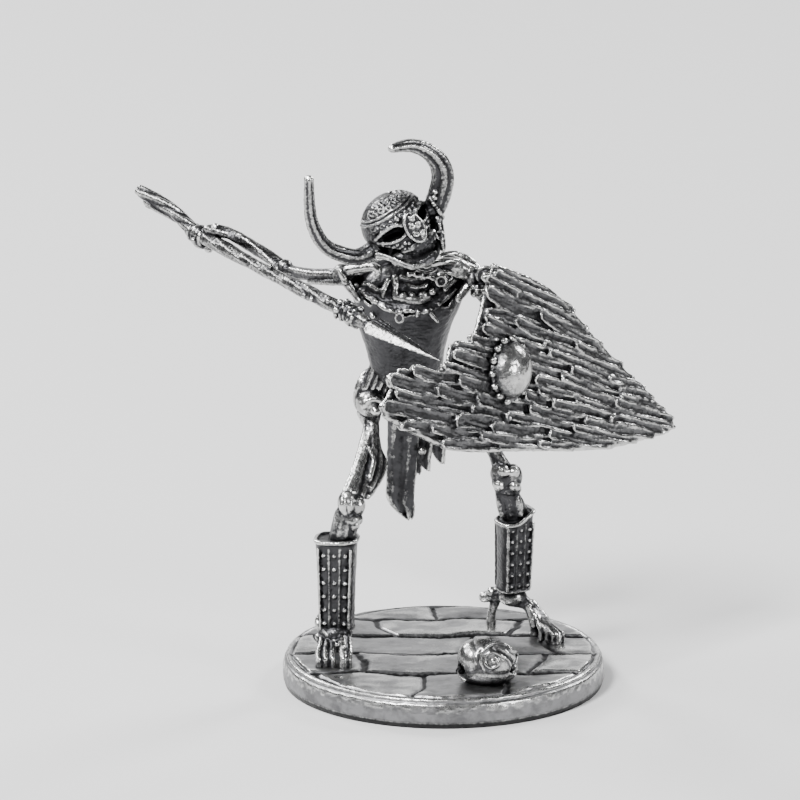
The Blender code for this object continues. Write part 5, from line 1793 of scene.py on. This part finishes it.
def wear_and_painted_light_places(name):
    """Where a casting is made brighter, as worn places and as painted highlights, and where (below zero) it
    is made darker, in places as painted shadow.
    """
    if name == "spear":
        return blade_highlight_and_groove_patina
    if name == "flagstone_base":
        return base_wear_joints_and_painted_light
    places = {
        "shield_boss": ((on_shield(0.0002, BOSS_DROP, 0.0022), 1.7, 0.55),),
        # Painted shadow in the open mouth and under the chin.
        "skull_and_neck": ((in_head(0.5, -2.5, -2.7), 1.3, -0.60), (in_head(1.4, -1.7, -3.2), 1.0, -0.22)),
        "horned_helmet": ((in_helm(0, -4.0, 0), 1.5, 0.16), (in_head(4.9, -0.9, 6.3), 2.0, 0.12)),
        "torn_jerkin_and_chest": (
            (at(-7.5, -2.4, 37.2), 1.6, 0.22), (at(2.2, -2.0, 37.0), 1.3, 0.30),
            (at(1.0, -2.3, 36.3), 1.2, 0.15),
            (at(-3.5, -2.0, 28.0), 5.5, -0.40), (at(-3.6, 2.0, 25.5), 4.0, -0.20),
            (at(-3.6, -2.4, 35.0), 2.6, 0.08)),
        "pelvis_and_loincloth": (
            (at(-6.3, 0.8, 23.0), 1.3, 0.30), (at(-7.9, 1.6, 24.6), 1.0, 0.22),
            (at(-3.4, 4.5, 15.0), 5.5, -0.24)),
        "right_leg": (
            (at(-9.1, -4.4, 14.8), 1.0, 0.32), (at(-7.6, 0.5, 18.8), 1.6, 0.24),
            (at(-8.4, -1.2, 17.0), 1.4, 0.20),
            (at(-11.4, -2.2, 2.9), 0.8, 0.18), (at(-10.0, -1.5, 6.5), 3.4, -0.16)),
        "left_leg": (
            (at(5.6, 2.4, 15.4), 4.2, -0.20), (at(3.8, 7.0, 2.6), 0.8, 0.2), (at(8.4, 4.6, 1.4), 1.0, 0.25),
            # Painted highlights on the four knee caps.
            *((at(x, y - 0.5, z + 0.1), 0.62, 0.50) for x, y, z in LEFT_KNEE_CAPS),
            (at(6.0, 4.6, 7.2), 3.2, -0.22)),
        # A painted highlight on the upper front of the shell.
        "snail_shell": ((snail_place() + Vector((0.0004, -0.0018, 0.0024)), 1.9, 0.22),),
        "plank_shield": ((on_shield(-0.006, -0.006, 0), 9.0, -0.14), (on_shield(0.010, 0.004, 0), 8.0, 0.06)),
    }
    return wear_and_painted_light_spots(*places.get(name, ()))


class CastingOperator:
    """What the casting operators share."""

    bl_options = {"REGISTER", "UNDO"}

    def cast(self, node, slot, material, *makers):
        """Makes the pieces and hands each to the frame."""
        for make in makers:
            piece = make()
            if not piece.data.polygons:
                raise RuntimeError(f"{piece.name} came out empty")
            settle(piece, node, material)
        return {"FINISHED"}


class MINIATURE_OT_head(CastingOperator, bpy.types.Operator):
    """Cast the horned helmet and the skull inside it"""

    bl_idname = "miniature.head"
    bl_label = "Head"

    def execute(self, context):
        return self.cast("skeleton_warrior", "figure_metal", figure_metal(), cast_head_piece,
                         cast_skull_piece)


class MINIATURE_OT_body(CastingOperator, bpy.types.Operator):
    """Cast the jerkin, chest, pelvis and loincloth"""

    bl_idname = "miniature.body"
    bl_label = "Body"

    def execute(self, context):
        return self.cast("skeleton_warrior", "figure_metal", figure_metal(), cast_torso_piece,
                         cast_hips_piece)


class MINIATURE_OT_arms(CastingOperator, bpy.types.Operator):
    """Cast both arms and the spear"""

    bl_idname = "miniature.arms"
    bl_label = "Arms and spear"

    def execute(self, context):
        return self.cast("skeleton_warrior", "figure_metal", figure_metal(),
                         cast_spear_arm_piece, cast_spear_piece, cast_shield_arm_piece)


class MINIATURE_OT_legs(CastingOperator, bpy.types.Operator):
    """Cast both legs with their studded greaves and bare feet"""

    bl_idname = "miniature.legs"
    bl_label = "Legs"

    def execute(self, context):
        return self.cast("skeleton_warrior", "figure_metal", figure_metal(), cast_right_leg_piece,
                         cast_left_leg_piece)


class MINIATURE_OT_shield(CastingOperator, bpy.types.Operator):
    """Cast the plank shield and its boss"""

    bl_idname = "miniature.shield"
    bl_label = "Shield"

    def execute(self, context):
        return self.cast("shield", "shield_metal", board_metal(), cast_shield_piece, cast_boss_piece)


class MINIATURE_OT_base(CastingOperator, bpy.types.Operator):
    """Cast the flagstone base and the snail shell on it"""

    bl_idname = "miniature.base"
    bl_label = "Base"

    def execute(self, context):
        self.cast("base", "base_metal", stone_metal(), cast_base_piece)
        return self.cast("base", "base_metal", shell_metal(), cast_snail_piece)


class MINIATURE_OT_patina_and_painted_light(bpy.types.Operator):
    """Blacken the hollows, paint shade where little sky is seen, and brighten the worn high spots and painted
    highlights of every casting
    """

    bl_idname = "miniature.patina"
    bl_label = "Patina"

    def execute(self, context):
        shelter = Shelter(CASTINGS)
        for piece in CASTINGS:
            mark_wear_and_painted_light(piece, shelter, wear_and_painted_light_places(piece.name))
        return {"FINISHED"}


VIEW_WIDTH = 0.07397
VIEW_ELEVATION = radians(16.07)
VIEW_DISTANCE = 0.9
VIEW_TARGET = Vector((-0.004053, 0.0, 0.027157))
SENSOR_WIDTH = 36
FLOOR_WIDTH = 6
LAMPS_AIM = Vector((-0.002, 0, 0.028))
# Each lamp's name, place, width and watts.
LAMPS = (
    ("key", (-0.22, -0.30, 0.42), 0.13, 5.8), ("fill", (0.42, -0.34, 0.22), 0.16, 1.9),
    ("side", (-0.375, 0.045, 0.36), 0.22, 1.8), ("back", (0.02, 0.62, 0.20), 0.45, 1.0),
    ("rim_left", (-0.30, 0.34, 0.30), 0.12, 2.3), ("rim_right", (0.34, 0.30, 0.32), 0.12, 2.2),
)


class MINIATURE_OT_stage(bpy.types.Operator):
    """Set up the pale floor, soft studio lights and the camera"""

    bl_idname = "miniature.stage"
    bl_label = "Stage"

    def execute(self, context):
        deselect()
        bpy.ops.mesh.primitive_plane_add(size=FLOOR_WIDTH, location=(0, 0, 0))
        floor = context.object
        floor.name = "studio_floor"
        paint = Paint("studio_floor")
        paint.set("Base Color", (0.66, 0.66, 0.66, 1))
        paint.set("Roughness", 0.75)
        floor.data.materials.append(paint.material)
        ahead = Vector((0, cos(VIEW_ELEVATION), -sin(VIEW_ELEVATION)))
        bpy.ops.object.camera_add(location=VIEW_TARGET - ahead * VIEW_DISTANCE,
                                  rotation=ahead.to_track_quat("-Z", "Y").to_euler())
        camera = context.object
        camera.data.sensor_width = SENSOR_WIDTH
        camera.data.lens = SENSOR_WIDTH * VIEW_DISTANCE / VIEW_WIDTH
        camera.data.clip_start = 0.01
        bpy.context.scene.camera = camera
        for name, place, size, power in LAMPS:
            place = Vector(place)
            bpy.ops.object.light_add(type="AREA", location=place,
                                     rotation=(LAMPS_AIM - place).to_track_quat("-Z", "Y").to_euler())
            lamp = context.object
            lamp.name = name
            lamp.data.size = size
            lamp.data.energy = power
        world = bpy.data.worlds.new("studio")
        world.use_nodes = True
        sky = world.node_tree.nodes["Background"].inputs
        sky["Color"].default_value = (0.55, 0.56, 0.58, 1)
        sky["Strength"].default_value = 0.21
        bpy.context.scene.world = world
        return {"FINISHED"}


class MINIATURE_PT_panel(bpy.types.Panel):
    """Lists the castings and their sizes"""

    bl_label = "Miniature"
    bl_idname = "MINIATURE_PT_panel"
    bl_space_type = "VIEW_3D"
    bl_region_type = "UI"
    bl_category = "Miniature"

    def draw(self, context):
        layout = self.layout
        for operator in OPERATORS:
            layout.operator(operator.bl_idname)
        for group in (context.scene.casting_sizes, context.scene.casting_finish):
            for key in group.__annotations__:
                layout.prop(group, key)


OPERATORS = (MINIATURE_OT_base, MINIATURE_OT_shield, MINIATURE_OT_legs, MINIATURE_OT_body, MINIATURE_OT_arms,
             MINIATURE_OT_head, MINIATURE_OT_patina_and_painted_light, MINIATURE_OT_stage)
CLASSES = (CastingSizes, CastingFinish) + OPERATORS + (MINIATURE_PT_panel,)


def register():
    for cls in CLASSES:
        bpy.utils.register_class(cls)
    bpy.types.Scene.casting_sizes = PointerProperty(type=CastingSizes)
    bpy.types.Scene.casting_finish = PointerProperty(type=CastingFinish)


def unregister():
    del bpy.types.Scene.casting_finish
    del bpy.types.Scene.casting_sizes
    for cls in reversed(CLASSES):
        bpy.utils.unregister_class(cls)


def main():
    register()
    bpy.ops.miniature.base()
    bpy.ops.miniature.shield()
    bpy.ops.miniature.legs()
    bpy.ops.miniature.body()
    bpy.ops.miniature.arms()
    bpy.ops.miniature.head()
    bpy.ops.miniature.patina()
    bpy.ops.miniature.stage()


if __name__ == "__main__":
    main()
